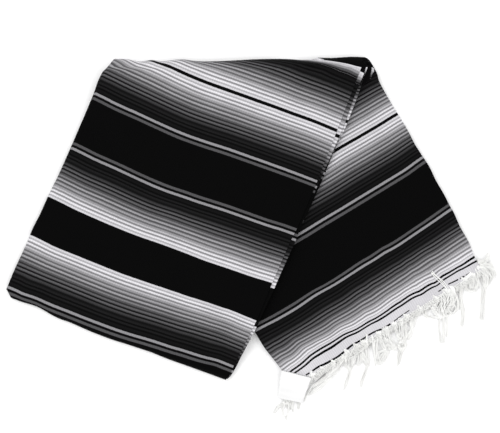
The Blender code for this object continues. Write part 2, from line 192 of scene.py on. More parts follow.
@dataclass(frozen=True)
class Stretch:
    """Outline of one stretch of the pack in plan, between the lines where its ends begin.

    left_wave has how far the left side stands out beyond its bow, in millimetres, against the
    share of the length.
    """

    top_left: tuple[float, float]
    top_right: tuple[float, float]
    bottom_left: tuple[float, float]
    bottom_right: tuple[float, float]
    left_bulge: float
    right_bulge: float
    end_bulge: float
    left_wave: tuple[tuple[float, float], ...]
    edges: dict[Edge, tuple[Hem, ...]]
    ridges: tuple[Ridge, ...]

    def side(self, top: tuple[float, float], bottom: tuple[float, float], bulge: float,
             outward: int, s: float) -> Vector:
        """Point on one side at share s of its length.

        Args:
            top: upper end of the side.
            bottom: lower end of it.
            bulge: how far it bows out.
            outward: 1 on the right and -1 on the left.
            s: share of the length.

        Returns:
            The point in plan.
        """
        start, end = Vector(top), Vector(bottom)
        along = (end - start).normalized()
        normal = Vector((-along.y, along.x)) * outward
        return start.lerp(end, s) + normal * bulge * math.sin(math.pi * s)

    def ends(self, s: float) -> tuple[Vector, Vector]:
        """Left and right end of the section at s.

        Args:
            s: share of the length.

        Returns:
            Both ends in plan.
        """
        left = self.side(self.top_left, self.bottom_left, self.left_bulge, -1, s)
        right = self.side(self.top_right, self.bottom_right, self.right_bulge, 1, s)
        return left, right

    def across(self, s: float) -> Vector:
        """Unit vector from left to right along the section at s."""
        left, right = self.ends(s)
        return (right - left).normalized()

    def outward(self, s: float) -> Vector:
        """Unit vector that leaves the stretch square to its first or last section.

        Args:
            s: share of the length.

        Returns:
            The vector in plan.
        """
        across = self.across(s)
        normal = Vector((-across.y, across.x))
        return normal if s < 0.5 else -normal

    def spot(self, s: float, t: float, reach: float = 0.0) -> Vector:
        """Plan point at share t across the section at s, moved sideways by reach.

        Args:
            s: share of the length.
            t: share across.
            reach: how far the point is moved to the right.

        Returns:
            The point in plan.
        """
        left, right = self.ends(s)
        point = left.lerp(right, t) + self.across(s) * reach
        sag = self.end_bulge * END_PEAK * t * (1 - t) ** 2 * s ** 3
        return point + self.outward(1.0) * sag

    def left_shift(self, s: float, t: float) -> float:
        """Sideways shift that the left side's waves give a point, most at the side itself."""
        return -wave(self.left_wave, s) * (1 - ease(t / LIP_SHARE))

    def hem(self, edge: Edge, s: float) -> tuple[float, float]:
        """Reach of an edge at s in metres, and its drift in courses."""
        places, reaches, drifts = zip(*self.edges[edge])
        return smooth_value(places, reaches, s) * MM, smooth_value(places, drifts, s)

    def relief(self, point: Vector) -> float:
        """Height of the soft ridges at a plan point."""
        return sum(ridge.lift(point) for ridge in self.ridges)


def beside(rows: Sequence[tuple[float, float]], gap: float, drift: float) -> tuple[Hem, ...]:
    """Edge that follows another one.

    Args:
        rows: share of the length and reach of the other edge, in millimetres.
        gap: how much farther this one stands out, in millimetres.
        drift: shift of its stripes, in courses.

    Returns:
        The rows of this edge.
    """
    return tuple(Hem(s, reach + gap, drift) for s, reach in rows)


FRONT = Stretch(
    top_left=(-0.2345, 0.2660), top_right=(0.1720, 0.2725),
    bottom_left=(-0.3890, -0.0820), bottom_right=(-0.0355, -0.2190),
    left_bulge=-0.002, right_bulge=0.006, end_bulge=0.005,
    left_wave=(
        (0.00, 0.4), (0.04, 1.4), (0.10, 0.3), (0.16, 0.5), (0.24, 0.7), (0.36, 0.6),
        (0.48, 0.9), (0.56, 2.2), (0.66, 2.2), (0.72, 3.4), (0.78, 2.1), (0.90, 2.2),
        (0.96, 1.4), (1.00, 0.6)),
    edges={
        Edge.SELVAGE: (
            Hem(0.00, -0.1), Hem(0.33, -0.1), Hem(0.38, 0.4), Hem(0.44, -0.3), Hem(0.51, -0.6),
            Hem(0.56, -2.3), Hem(0.69, -2.2), Hem(0.76, -1.2), Hem(0.82, -0.4), Hem(0.87, -1.4),
            Hem(0.95, -3.0), Hem(1.00, -2.4)),
        Edge.SECOND_SELVAGE: (
            Hem(0.00, 7.6, -6.2), Hem(0.03, 8.2, -6.2), Hem(0.08, 7.3, -6.0), Hem(0.20, 7.1, -6.0),
            Hem(0.26, 6.0, -6.2), Hem(0.37, 4.5, -6.2), Hem(0.47, 3.8, -6.0), Hem(0.55, 4.8, -6.0),
            Hem(0.60, 4.2, -5.6), Hem(0.70, 5.0, -5.1), Hem(0.78, 4.3, -6.0), Hem(0.83, 4.3, -6.6),
            Hem(0.88, 2.4, -6.0), Hem(0.93, 1.4, -5.2), Hem(0.97, 1.7, -5.0), Hem(1.00, 0.0, -5.0)),
        Edge.FOLD: (
            Hem(0.00, 10.8, 0.0), Hem(0.05, 10.8, 6.0), Hem(0.11, 11.2, 10.0), Hem(0.18, 11.4, 10.2),
            Hem(0.21, 10.6, 10.2), Hem(0.24, 9.2, 10.0), Hem(0.33, 8.1, 9.8), Hem(0.38, 7.0, 9.8),
            Hem(0.46, 5.6, 9.8), Hem(0.51, 3.2, 9.8), Hem(0.57, 0.0, 9.0), Hem(1.00, -2.5, 8.0)),
        Edge.UNDER_FOLD: (
            Hem(0.000, 17.0, -22.0), Hem(0.010, 18.5, -22.0), Hem(0.025, 19.5, -22.0),
            Hem(0.040, 21.0, -22.0), Hem(0.055, 14.0, -22.0), Hem(0.080, 8.0, -20.0),
            Hem(0.200, 3.0, 0.0), Hem(1.000, -4.0, -4.0)),
        Edge.UNDER_SECOND: (
            Hem(0.000, 19.5, 0.0), Hem(0.010, 23.5, 0.0), Hem(0.020, 22.0, 0.0),
            Hem(0.040, 22.5, 0.0), Hem(0.055, 14.0, 0.0),
            Hem(0.080, 8.0, 0.0), Hem(0.120, 4.0, -6.0), Hem(1.000, -4.0, -8.0)),
        Edge.UNDER_SELVAGE: (
            Hem(0.00, 15.0, 0.0), Hem(0.05, 8.0, 0.0), Hem(0.12, 2.0, -8.0),
            Hem(1.00, -3.0, -10.0)),
    },
    ridges=(
        Ridge((-0.196, 0.235), (-0.232, 0.070), 0.020, 1.3 * MM),
        Ridge((-0.150, 0.200), (-0.190, 0.020), 0.018, -0.8 * MM),
        Ridge((0.130, 0.150), (0.070, -0.010), 0.016, 0.8 * MM),
        Ridge((-0.020, -0.090), (-0.055, -0.190), 0.013, 1.2 * MM),
        Ridge((0.008, -0.040), (-0.012, -0.120), 0.010, 0.9 * MM),
        Ridge((-0.330, -0.070), (-0.360, -0.105), 0.012, 1.2 * MM),
        Ridge((-0.120, 0.010), (-0.175, -0.120), 0.024, 0.7 * MM),
        Ridge((-0.290, 0.060), (-0.325, -0.030), 0.020, 0.8 * MM),
    ),
)
# Outermost edge at the right side of the back stretch: share of its length and reach
BACK_RIM = (
    (0.000, 4.2), (0.030, 3.5), (0.060, 0.2), (0.100, -1.0), (0.190, -1.3), (0.270, -0.2),
    (0.320, 0.0), (0.375, -1.0), (0.440, 0.4), (0.495, 2.0), (0.560, 0.8), (0.640, 1.9),
    (0.690, 1.4), (0.720, 2.2), (0.790, 0.8), (0.865, 2.1), (0.930, 0.1), (1.000, 0.2))
BACK = Stretch(
    top_left=(-0.2280, 0.2657), top_right=(0.1890, 0.2720),
    bottom_left=(0.0660, -0.2340), bottom_right=(0.3640, -0.0500),
    left_bulge=0.010, right_bulge=0.004, end_bulge=0.0,
    left_wave=((0.00, 0.0), (0.60, 0.0), (0.80, 1.2), (0.87, 2.4), (0.91, 0.5), (0.96, -1.6),
               (1.00, -2.0)),
    edges={
        Edge.SELVAGE: beside(BACK_RIM, 0.0, 0.0),
        Edge.SECOND_SELVAGE: beside(BACK_RIM, -0.8, 2.0),
        Edge.FOLD: beside(BACK_RIM, -0.5, -3.0),
        Edge.UNDER_FOLD: beside(BACK_RIM, -1.0, -3.0),
        Edge.UNDER_SECOND: beside(BACK_RIM, -0.7, 4.0),
        Edge.UNDER_SELVAGE: beside(BACK_RIM, -0.5, 4.0),
    },
    ridges=(
        Ridge((0.250, 0.060), (0.310, -0.030), 0.014, 0.9 * MM),
        Ridge((0.200, -0.010), (0.270, -0.110), 0.015, 1.0 * MM),
        Ridge((0.235, 0.150), (0.262, 0.100), 0.014, 0.8 * MM),
    ),
)

# Edge of one stretch that becomes an edge of the other as the pack turns over
TURNED_EDGES = {
    Edge.SELVAGE: Edge.UNDER_SELVAGE, Edge.SECOND_SELVAGE: Edge.UNDER_SECOND,
    Edge.FOLD: Edge.UNDER_FOLD, Edge.UNDER_FOLD: Edge.FOLD,
    Edge.UNDER_SECOND: Edge.SECOND_SELVAGE, Edge.UNDER_SELVAGE: Edge.SELVAGE,
}


class FringeRidge(NamedTuple):
    """Soft ridge of the back stretch that rises towards its fringed end.

    place and half_width are shares across, and length is the share of the stretch's length
    over which it rises.
    """

    place: float
    half_width: float
    height: float
    length: float


FRINGE_RIDGES = (
    FringeRidge(0.16, 0.045, 2.4 * MM, 0.34), FringeRidge(0.30, 0.050, 1.6 * MM, 0.28),
    FringeRidge(0.52, 0.070, 1.2 * MM, 0.22), FringeRidge(0.86, 0.050, 1.5 * MM, 0.20))

# The front stretch comes down to the floor over a run that starts beyond the back's left edge
DROP_START = 10 * MM
DROP_RUN = 62 * MM

# Shares of the length over which the soft ridges grow from the folds
FRONT_UPPER_CALM = 0.08
FRONT_LOWER_CALM = 0.05
BACK_CALM = 0.2


def beyond_back(point: Vector) -> float:
    """How far a plan point lies beyond the left edge of the back stretch.

    Args:
        point: plan point.

    Returns:
        The distance, negative inside the edge.
    """
    start, end = Vector(BACK.top_left), Vector(BACK.bottom_left)
    along = (end - start).normalized()
    outside = Vector((along.y, -along.x))
    return (point - start).dot(outside) - BACK.left_bulge


def front_level(point: Vector, s: float, t: float) -> tuple[float, float]:
    """Underside and top of the front stretch, which lies on the back one or on the floor.

    Args:
        point: plan point.
        s: share of the length.
        t: share across. It is not used.

    Returns:
        Both heights. They don't depend on t.
    """
    base = (PACK + SEAM) * (1 - ease((beyond_back(point) - DROP_START) / DROP_RUN))
    ends = ease(s / FRONT_UPPER_CALM) * ease((1 - s) / FRONT_LOWER_CALM)
    return base, base + PACK + FRONT.relief(point) * ends


def back_level(point: Vector, s: float, t: float) -> tuple[float, float]:
    """Underside and top of the back stretch, with its soft ridges towards the fringed end.

    Args:
        point: plan point.
        s: share of the length.
        t: share across.

    Returns:
        Both heights.
    """
    height = PACK + BACK.relief(point) * ease(s / BACK_CALM)
    for ridge in FRINGE_RIDGES:
        bell = math.exp(-((t - ridge.place) / ridge.half_width) ** 2)
        height += ridge.height * bell * ease((s - 1 + ridge.length) / ridge.length)
    return 0.0, height


class Spot(NamedTuple):
    """One point of a folded section.

    t is the share across and depth runs down from the pack's top. A point at the selvage side
    also has its edge, and reach counts from there. width is the distance across the cloth.
    """

    t: float
    reach: float
    depth: float
    edge: Optional[Edge]
    width: float


class End(Enum):
    """Where a row of the sheet lies along the pack."""

    FLAT = "flat"
    UPPER = "upper"
    LOWER = "lower"


class Station(NamedTuple):
    """Row of a sheet: on the flat at share s, or at a turn round the fold of one end."""

    end: End
    s: float
    turn: float = 0.0
    step_out: float = 0.0


# ---- Stripe chart ----


class Buckle(NamedTuple):
    """Small waves of the stripes over a part of the length.

    They grow from share start to share full of the length, and fade from last to end. Each
    row has a share across and what is added to the place in the pattern there, in courses.
    """

    start: float
    full: float
    last: float
    end: float
    rows: tuple[tuple[float, float], ...]

    def shift(self, s: float, t: float) -> float:
        """How far the stripes are shifted at a point, in courses.

        Args:
            s: share of the length.
            t: share across.

        Returns:
            The shift in courses.
        """
        grown = ease((s - self.start) / (self.full - self.start))
        left = ease((self.end - s) / (self.end - self.last))
        return grown * left and grown * left * wave(self.rows, t) / MM


@dataclass(frozen=True)
class StripeChart:
    """Where the main stripes cross a stretch.

    stations are shares across, and each row has a stripe's place in the pattern, in courses
    from the middle of the first thin line, and its share of the length at each station.
    """

    stations: tuple[float, ...]
    rows: tuple[tuple[float, tuple[float, ...]], ...]
    buckles: tuple[Buckle, ...] = ()

    def course(self, s: float, t: float) -> float:
        """Place in the pattern at a point of the stretch, in courses.

        Args:
            s: share of the length.
            t: share across.

        Returns:
            The place in courses.
        """
        marks = sorted((smooth_value(self.stations, places, t), course)
                       for course, places in self.rows)
        i = max([k for k in range(len(marks) - 1) if marks[k][0] <= s], default=0)
        (s0, c0), (s1, c1) = marks[i], marks[i + 1]
        shift = sum(buckle.shift(s, t) for buckle in self.buckles)
        return c0 + (c1 - c0) * (s - s0) / (s1 - s0) + shift


FRONT_CHART = StripeChart(
    stations=(0.02, 0.10, 0.20, 0.30, 0.40, 0.50, 0.60, 0.70, 0.80, 0.90, 0.98),
    rows=(
        (0.0, (-.122, -.082, -.038, .007, .044, .074, .101, .127, .153, .176, .196)),
        (28.0, (-.006, .032, .074, .113, .147, .174, .197, .220, .242, .2625, .281)),
        (56.0, (.109, .144, .180, .215, .246, .269, .288, .308, .327, .3455, .3605)),
        (115.3, (.355, .382, .409, .436, .459, .476, .489, .501, .513, .525, .534)),
        (142.0, (.464, .488, .510, .531, .549, .561, .573, .584, .593, .603, .609)),
        (169.8, (.578, .598, .617, .633, .646, .655, .665, .676, .683, .690, .693)),
        (209.0, (.752, .765, .772, .781, .790, .795, .799, .803, .804, .808, .813)),
        (236.0, (.868, .872, .875, .880, .885, .887, .887, .8875, .886, .886, .889)),
        (263.5, (.986, .981, .981, .982, .983, .983, .980, .977, .974, .969, .970)),
    ),
    buckles=(
        Buckle(-0.02, -0.01, 0.00, 0.05, (
            (0.78, 0.0), (0.855, 1.6), (0.88, 1.1), (0.92, 0.4), (0.96, 1.0), (1.00, 0.3))),
        Buckle(0.05, 0.08, 0.18, 0.24, (
            (0.03, 0.0), (0.27, -0.2), (0.39, -0.3), (0.48, -0.1), (0.60, -0.3), (0.66, -0.4),
            (0.75, -0.2), (0.81, -0.1), (0.97, -0.3))),
        Buckle(0.42, 0.46, 0.54, 0.58, (
            (0.03, 0.0), (0.09, 0.2), (0.24, 0.3), (0.36, 0.0), (0.45, 0.1), (0.51, 0.4),
            (0.57, 0.1), (0.69, 0.3), (0.78, 0.0), (0.87, -0.1), (0.94, 0.6))),
        Buckle(0.70, 0.73, 0.75, 0.77, (
            (0.72, 0.0), (0.78, 1.0), (0.81, 0.5), (0.87, 0.2), (0.94, 0.6))),
        Buckle(0.74, 0.78, 0.86, 0.90, (
            (0.03, 0.0), (0.12, -0.1), (0.21, -0.4), (0.30, -0.3), (0.42, 0.0), (0.72, 0.0),
            (0.83, -0.3), (0.89, 0.1), (0.94, -0.3))),
        Buckle(0.90, 0.93, 1.10, 1.20, (
            (0.03, -0.2), (0.06, -0.9), (0.12, -0.3), (0.18, -0.5), (0.27, -0.1), (0.54, 0.0),
            (0.64, 0.2), (0.72, -0.2), (0.78, 0.0), (0.87, -0.7), (0.93, 0.2))),
    ),
)
BACK_CHART = StripeChart(
    stations=(0.04, 0.10, 0.20, 0.30, 0.40, 0.50, 0.60, 0.70, 0.80, 0.90, 0.97),
    rows=(
        (-130.0, (.381, .368, .345, .3145, .287, .254, .2215, .181, .142, .0989, .0666)),
        (-175.0, (.499, .489, .471, .445, .422, .397, .3715, .338, .306, .270, .241)),
        (-231.0, (.646, .640, .628, .609, .593, .575, .556, .534, .510, .483, .458)),
        (-272.0, (.763, .760, .752, .741, .7315, .718, .7045, .6905, .672, .6515, .633)),
        (-291.2, (.815, .813, .807, .796, .790, .779, .768, .758, .742, .724, .709)),
        (-323.9, (.905, .901, .897, .892, .889, .883, .875, .867, .859, .849, .843)),
        (-346.3, (.959, .954, .946, .945, .950, .949, .943, .942, .943, .937, .934)),
        (-350.8, (.969, .965, .958, .955, .959, .959, .956, .956, .9575, .950, .953)),
        (-361.0, (.990, .990, .992, .987, .986, .991, .986, .985, .980, .981, .982)),
    ),
    buckles=(
        Buckle(0.40, 0.46, 0.62, 0.66, (
            (0.03, 0.0), (0.06, 0.2), (0.24, -0.2), (0.33, -0.4), (0.42, -0.3), (0.48, -0.4),
            (0.66, -0.3), (0.78, -0.2), (0.90, -0.3), (0.97, -0.6))),
        Buckle(0.68, 0.72, 0.76, 0.80, (
            (0.20, 0.0), (0.27, 0.5), (0.33, 1.0), (0.36, 1.3), (0.39, 0.9), (0.48, 0.5),
            (0.54, 0.1), (0.60, 0.4), (0.66, -0.4), (0.69, 0.1), (0.75, 0.5), (0.97, 0.1))),
        Buckle(0.79, 0.82, 0.86, 0.89, (
            (0.03, -0.4), (0.12, 0.1), (0.39, 0.1), (0.45, -0.7), (0.48, -0.7), (0.51, -0.3),
            (0.54, -0.7), (0.57, -0.3), (0.63, -0.4), (0.66, -0.6), (0.69, -0.3), (0.72, -0.8),
            (0.75, -0.5), (0.81, -0.9), (0.84, -0.3), (0.87, 0.0), (0.93, -0.6), (0.97, -1.0))),
        Buckle(0.86, 0.89, 0.92, 0.95, (
            (0.03, -0.7), (0.06, 0.0), (0.09, -0.3), (0.12, -1.2), (0.15, -0.8), (0.18, -0.6),
            (0.21, -0.1), (0.24, 0.3), (0.27, 0.5), (0.30, 0.0), (0.42, 0.0), (0.45, -0.4),
            (0.51, 0.3), (0.57, 0.0), (0.66, 0.3), (0.72, -0.6), (0.75, 0.0), (0.97, 0.0))),
        Buckle(0.88, 0.93, 1.10, 1.20, (
            (0.03, 0.0), (0.06, 0.5), (0.09, 0.4), (0.11, 0.0), (0.14, -0.6), (0.17, 0.0),
            (0.20, 0.4), (0.24, 1.1), (0.28, 0.7), (0.32, 0.0), (0.37, 0.7), (0.40, 0.2),
            (0.44, -0.3), (0.48, 0.5), (0.52, 0.5), (0.58, 0.2), (0.61, 0.3), (0.66, -0.6),
            (0.69, 0.1), (0.71, 0.9), (0.75, -0.1), (0.77, 0.0), (0.79, 0.8), (0.83, -0.9),
            (0.87, 0.0), (0.91, 0.4), (0.93, 0.8), (0.97, 0.3))),
    ),
)

# Edge from which the gradient runs, in courses: the middle of a dark line or band and its
# half width. The gradient runs out from both sides of it, from white to black.
LIGHT_EDGES = ((-348.6, 2.9), (-175.0, 1.5), (0.0, 1.5), (189.4, 19.6))
QUICK_BAND = (-87.5, 21.0)

# Lightness of the picks against the distance from such an edge, in courses. Lighter and darker
# yarns alternate as they fade from white to black.
PICKS = (
    (1.2, 224), (2.9, 192), (4.5, 235), (6.7, 161), (8.2, 226), (10.4, 150), (11.8, 192),
    (13.4, 160), (15.5, 116), (16.8, 159), (19.4, 97), (21.0, 157), (23.1, 86), (25.0, 125),
    (26.3, 90), (28.2, 57), (29.7, 92), (32.1, 31), (33.5, 86), (35.9, 25), (37.3, 57),
    (40.3, 21), (42.8, 29), (44.5, 12), (46.1, 27), (48.1, 11), (49.9, 20),
)
PICK_HALF = 0.62
# Place where the first pick starts, and the run over which a thin line's edge fades
FIRST_PICK = 0.35
LINE_FADE = 0.4
# Thin lines on black beyond them: where each starts and ends, and its lightness
THIN_LINES = ((53.5, 55.6, 156), (58.5, 60.7, 90))
QUICK_GRADIENT = ((0.0, 20), (0.3, 244), (1.8, 236), (2.8, 206), (4.2, 214), (5.6, 150), (6.8, 160),
                  (8.2, 78), (9.2, 88), (10.4, 30), (11.6, 12))
# Heading at the fringed end: where its white starts, its two thin lines and its broken one
HEADING_START = -342.9
HEADING_WHITE = 228
HEADING_LINES = (-346.3, -350.8)
LINE_HALF = 1.15
DASHED_LINE = -361.0
# Dashes of the broken line: where each starts and ends across, and its half thickness in courses
DASHES = (
    (0.067, 0.089, 0.9), (0.1025, 0.272, 1.0), (0.288, 0.393, 1.0), (0.406, 0.517, 1.0),
    (0.537, 0.622, 0.6), (0.779, 0.816, 0.9), (0.835, 0.883, 1.0), (0.893, 0.917, 0.9),
    (0.924, 0.949, 0.8))
# Cloth in the lip of a top layer, and across the rest of it
LIP_WIDTH = 12 * MM
MEAN_WIDTH = 385 * MM
# Stops that one colour ramp takes
RAMP_STOPS = 24
WEFT_TINT = (0.975, 0.958, 1.0)
BLACK_LIGHTNESS = 6
# Share by which each pick stands off more from its neighbours, as the eye blurs them
PICK_CONTRAST = 0.18
LIGHTEST = 250


def pick_tone(i: int) -> float:
    """Lightness of a pick, set off from its neighbours.

    Args:
        i: number of the pick.

    Returns:
        The lightness.
    """
    around = (PICKS[max(i - 1, 0)][1] + PICKS[min(i + 1, len(PICKS) - 1)][1]) / 2
    tone = PICKS[i][1] + PICK_CONTRAST * (PICKS[i][1] - around)
    return min(max(tone, BLACK_LIGHTNESS), LIGHTEST)


def gradient_stops() -> list[tuple[float, float]]:
    """Places and lightnesses of the whole gradient, from its edge to black.

    Returns:
        Rows of place and lightness.
    """
    stops = [(0.0, BLACK_LIGHTNESS), (FIRST_PICK, PICKS[0][1])]
    for i, (place, _) in enumerate(PICKS):
        lightness = pick_tone(i)
        if stops[-1][0] < place - PICK_HALF:
            stops.append((place - PICK_HALF, lightness))
        stops.append((place + PICK_HALF, lightness))
    for start, end, lightness in THIN_LINES:
        stops += [(start - LINE_FADE, BLACK_LIGHTNESS), (start, lightness), (end, lightness),
                  (end + LINE_FADE, BLACK_LIGHTNESS)]
    return stops


# ---- Finishes ----


def grey(value: float) -> tuple[float, float, float, float]:
    """Colour of one grey."""
    return value, value, value, 1.0


class Graph:
    """Short way to lay out the nodes of a material or group."""

    # Where a Mix node keeps its two colours and their mix
    FIRST_COLOUR, SECOND_COLOUR, MIXED_COLOUR = 6, 7, 2

    def __init__(self, tree: bpy.types.NodeTree) -> None:
        """Keep the tree that the nodes go into.

        Args:
            tree: node tree of a material or a group.
        """
        self.tree = tree

    def node(self, kind: str, **values: object) -> bpy.types.Node:
        """New node with attributes set.

        Args:
            kind: type name of the node.
            values: attributes of the node by name.

        Returns:
            The new node.
        """
        made = self.tree.nodes.new(kind)
        for name, value in values.items():
            setattr(made, name, value)
        return made

    def feed(self, target: bpy.types.NodeSocket, source: object) -> None:
        """Link a socket to another one, or set its value.

        Args:
            target: input that is fed.
            source: output of another node, or a plain value.
        """
        if isinstance(source, bpy.types.NodeSocket):
            self.tree.links.new(source, target)
        else:
            target.default_value = source

    def feed_all(self, made: bpy.types.Node, sources: Sequence[object]) -> bpy.types.NodeSocket:
        """Feed a node's first inputs in order.

        Args:
            made: the node.
            sources: outputs or plain values.

        Returns:
            The node's first output.
        """
        for socket, source in zip(made.inputs, sources):
            self.feed(socket, source)
        return made.outputs[0]

    def fill(self, made: bpy.types.Node, **values: object) -> bpy.types.Node:
        """Feed a node's inputs by name.

        Args:
            made: the node.
            values: what feeds each input. A name's underscores stand for spaces.

        Returns:
            The same node.
        """
        for name, value in values.items():
            self.feed(made.inputs[name.replace("_", " ")], value)
        return made

    def math(self, operation: str, *sources: object, clamp: bool = False) -> bpy.types.NodeSocket:
        """Math node on sockets or numbers."""
        made = self.node("ShaderNodeMath", operation=operation, use_clamp=clamp)
        return self.feed_all(made, sources)

    def away(self, value: object, middle: float) -> bpy.types.NodeSocket:
        """Distance of a value from a middle."""
        return self.math("ABSOLUTE", self.math("SUBTRACT", value, middle))

    def crown(self, share: object, power: float) -> bpy.types.NodeSocket:
        """Round profile over a share from -0.5 to 0.5: 1 in its middle and 0 at its ends.

        Args:
            share: place within the profile.
            power: how flat its top is.

        Returns:
            The height there.
        """
        doubled = self.math("ABSOLUTE", self.math("MULTIPLY", share, 2.0))
        return self.math("SUBTRACT", 1.0, self.math("POWER", doubled, power))

    def span(self, value: object, start: float, end: float, low: float = 0.0,
             high: float = 1.0) -> bpy.types.NodeSocket:
        """Map a value from one range to another, held at both ends."""
        made = self.node("ShaderNodeMapRange")
        return self.feed_all(made, (value, start, end, low, high))

    def mix(self, share: object, first: object, second: object,
            blend: str = "MIX") -> bpy.types.NodeSocket:
        """Mix of two colours.

        Args:
            share: how much of the second one there is.
            first: colour or socket.
            second: colour or socket.
            blend: way in which they are mixed.

        Returns:
            The mixed colour.
        """
        made = self.node("ShaderNodeMix", data_type="RGBA", blend_type=blend)
        self.feed(made.inputs["Factor"], share)
        self.feed(made.inputs[self.FIRST_COLOUR], first)
        self.feed(made.inputs[self.SECOND_COLOUR], second)
        return made.outputs[self.MIXED_COLOUR]

    def dim(self, colour: object, share: object) -> bpy.types.NodeSocket:
        """Colour times a share."""
        return self.mix(1.0, colour, self.point(share, share, share), blend="MULTIPLY")

    def noise(self, vector: object, scale: object, detail: float = 2.0,
              distortion: float = 0.0) -> bpy.types.NodeSocket:
        """Noise value at a point.

        Args:
            vector: the point.
            scale: how many waves a metre has.
            detail: how many finer waves are added.
            distortion: how much the waves are bent.

        Returns:
            A value round 0.5.
        """
        made = self.node("ShaderNodeTexNoise")
        for name, value in (("Vector", vector), ("Scale", scale), ("Detail", detail),
                            ("Distortion", distortion)):
            self.feed(made.inputs[name], value)
        return made.outputs["Fac"]

    def point(self, x: object, y: object, z: object = 0.0) -> bpy.types.NodeSocket:
        """Vector from three values."""
        return self.feed_all(self.node("ShaderNodeCombineXYZ"), (x, y, z))

    def bump(self, height: object, strength: float, depth: float) -> bpy.types.NodeSocket:
        """Normal of a fine relief that is as deep as depth, in metres."""
        made = self.node("ShaderNodeBump")
        return self.fill(made, Height=height, Strength=strength, Distance=depth).outputs[0]

    def group(self, tree: bpy.types.NodeTree, **values: object) -> bpy.types.Node:
        """Place a group and feed its inputs by name."""
        return self.fill(self.node("ShaderNodeGroup", node_tree=tree), **values)

    def colour_ramp(self, value: object, stops: Sequence[tuple[float, float]],
                    kind: str = "LINEAR") -> bpy.types.NodeSocket:
        """Grey against a value from 0 to 1.

        Args:
            value: the value.
            stops: rising places and the grey at each.
            kind: how the grey runs between them.

        Returns:
            The grey.
        """
        made = self.node("ShaderNodeValToRGB")
        made.color_ramp.interpolation = kind
        self.feed(made.inputs[0], value)
        elements = made.color_ramp.elements
        while len(elements) < len(stops):
            elements.new(1.0)
        for element, (place, size) in zip(elements, stops):
            element.position = place
            element.color = grey(size)
        return made.outputs[0]

    def steps(self, value: object,
              spans: Sequence[tuple[float, float, float]]) -> bpy.types.NodeSocket:
        """Value that is 0 but for some spans.

        Args:
            value: the value that runs from 0 to 1.
            spans: start, end and size of each.

        Returns:
            The size of the span that the value is in.
        """
        rows = [(0.0, 0.0)]
        for start, end, size in spans:
            rows += [(start, size), (end, 0.0)]
        return self.colour_ramp(value, rows, "CONSTANT")

    def ramp(self, value: object, rows: Sequence[tuple[float, float]]) -> bpy.types.NodeSocket:
        """Grey value from a table of places and lightnesses.

        Args:
            value: place that is asked for.
            rows: rising places and their lightness.

        Returns:
            The grey there.
        """
        low, high = rows[0][0], rows[-1][0]
        stops = [((place - low) / (high - low), linear(lightness)) for place, lightness in rows]
        return self.colour_ramp(self.span(value, low, high), stops)


def new_group(name: str, inputs: Sequence[str], outputs: Sequence[tuple[str, str]]) -> tuple:
    """Empty shader node group with named sockets.

    Args:
        name: name of the group.
        inputs: names of the number inputs.
        outputs: names and socket types of the outputs.

    Returns:
        The group's tree, its graph, its input node's sockets and its output node.
    """
    tree = bpy.data.node_groups.new(name, "ShaderNodeTree")
    for label in inputs:
        tree.interface.new_socket(name=label, in_out="INPUT", socket_type="NodeSocketFloat")
    for label, kind in outputs:
        tree.interface.new_socket(name=label, in_out="OUTPUT", socket_type=kind)
    graph = Graph(tree)
    entry = graph.node("NodeGroupInput")
    leave = graph.node("NodeGroupOutput")
    return tree, graph, entry.outputs, leave


def heading_tone(graph: Graph, tone: object, course: object,
                 width: object) -> bpy.types.NodeSocket:
    """Lay the white heading over the stripes, with its two thin lines and its broken one.

    Args:
        graph: graph of the stripes' group.
        tone: the stripes.
        course: place in the pattern.
        width: place across the cloth.

    Returns:
        The stripes with the heading.
    """
    black = grey(linear(BLACK_LIGHTNESS))
    within = graph.math("LESS_THAN", course, HEADING_START)
    tone = graph.mix(within, tone, grey(linear(HEADING_WHITE)))
    for line in HEADING_LINES:
        shown = graph.math("LESS_THAN", graph.away(course, line), LINE_HALF)
        tone = graph.mix(shown, tone, black)
    across = graph.math("DIVIDE", graph.math("SUBTRACT", width, LIP_WIDTH), MEAN_WIDTH)
    dashes = graph.steps(across, DASHES)
    shown = graph.math("LESS_THAN", graph.away(course, DASHED_LINE), dashes)
    return graph.mix(shown, tone, black)


def stripe_group() -> bpy.types.NodeTree:
    """Colour of the woven stripes against the place in the pattern.

    Returns:
        The group, with the inputs Course and Width.
    """
    tree, graph, given, leave = new_group(
        "Serape stripes", ("Course", "Width"), (("Color", "NodeSocketColor"),))
    course = given["Course"]
    nearest: Optional[bpy.types.NodeSocket] = None
    for middle, half in LIGHT_EDGES:
        beyond = graph.math("SUBTRACT", graph.away(course, middle), half)
        nearest = beyond if nearest is None else graph.math("MINIMUM", nearest, beyond)
    stops = gradient_stops()
    tone = graph.ramp(nearest, stops[:RAMP_STOPS])
    for start in range(RAMP_STOPS - 1, len(stops) - 1, RAMP_STOPS - 1):
        beyond = graph.math("GREATER_THAN", nearest, stops[start][0])
        tone = graph.mix(beyond, tone, graph.ramp(nearest, stops[start:start + RAMP_STOPS]))
    quick = graph.math("SUBTRACT", graph.away(course, QUICK_BAND[0]), QUICK_BAND[1])
    in_quick = graph.math("LESS_THAN", quick, QUICK_GRADIENT[-1][0])
    tone = graph.mix(in_quick, tone, graph.ramp(quick, QUICK_GRADIENT))
    dark = graph.math("LESS_THAN", graph.math("MINIMUM", nearest, quick), 0.0)
    tone = graph.mix(dark, tone, grey(linear(BLACK_LIGHTNESS)))
    tone = heading_tone(graph, tone, course, given["Width"])
    tint = graph.mix(1.0, tone, (*WEFT_TINT, 1.0), blend="MULTIPLY")
    graph.feed(leave.inputs["Color"], tint)
    return tree


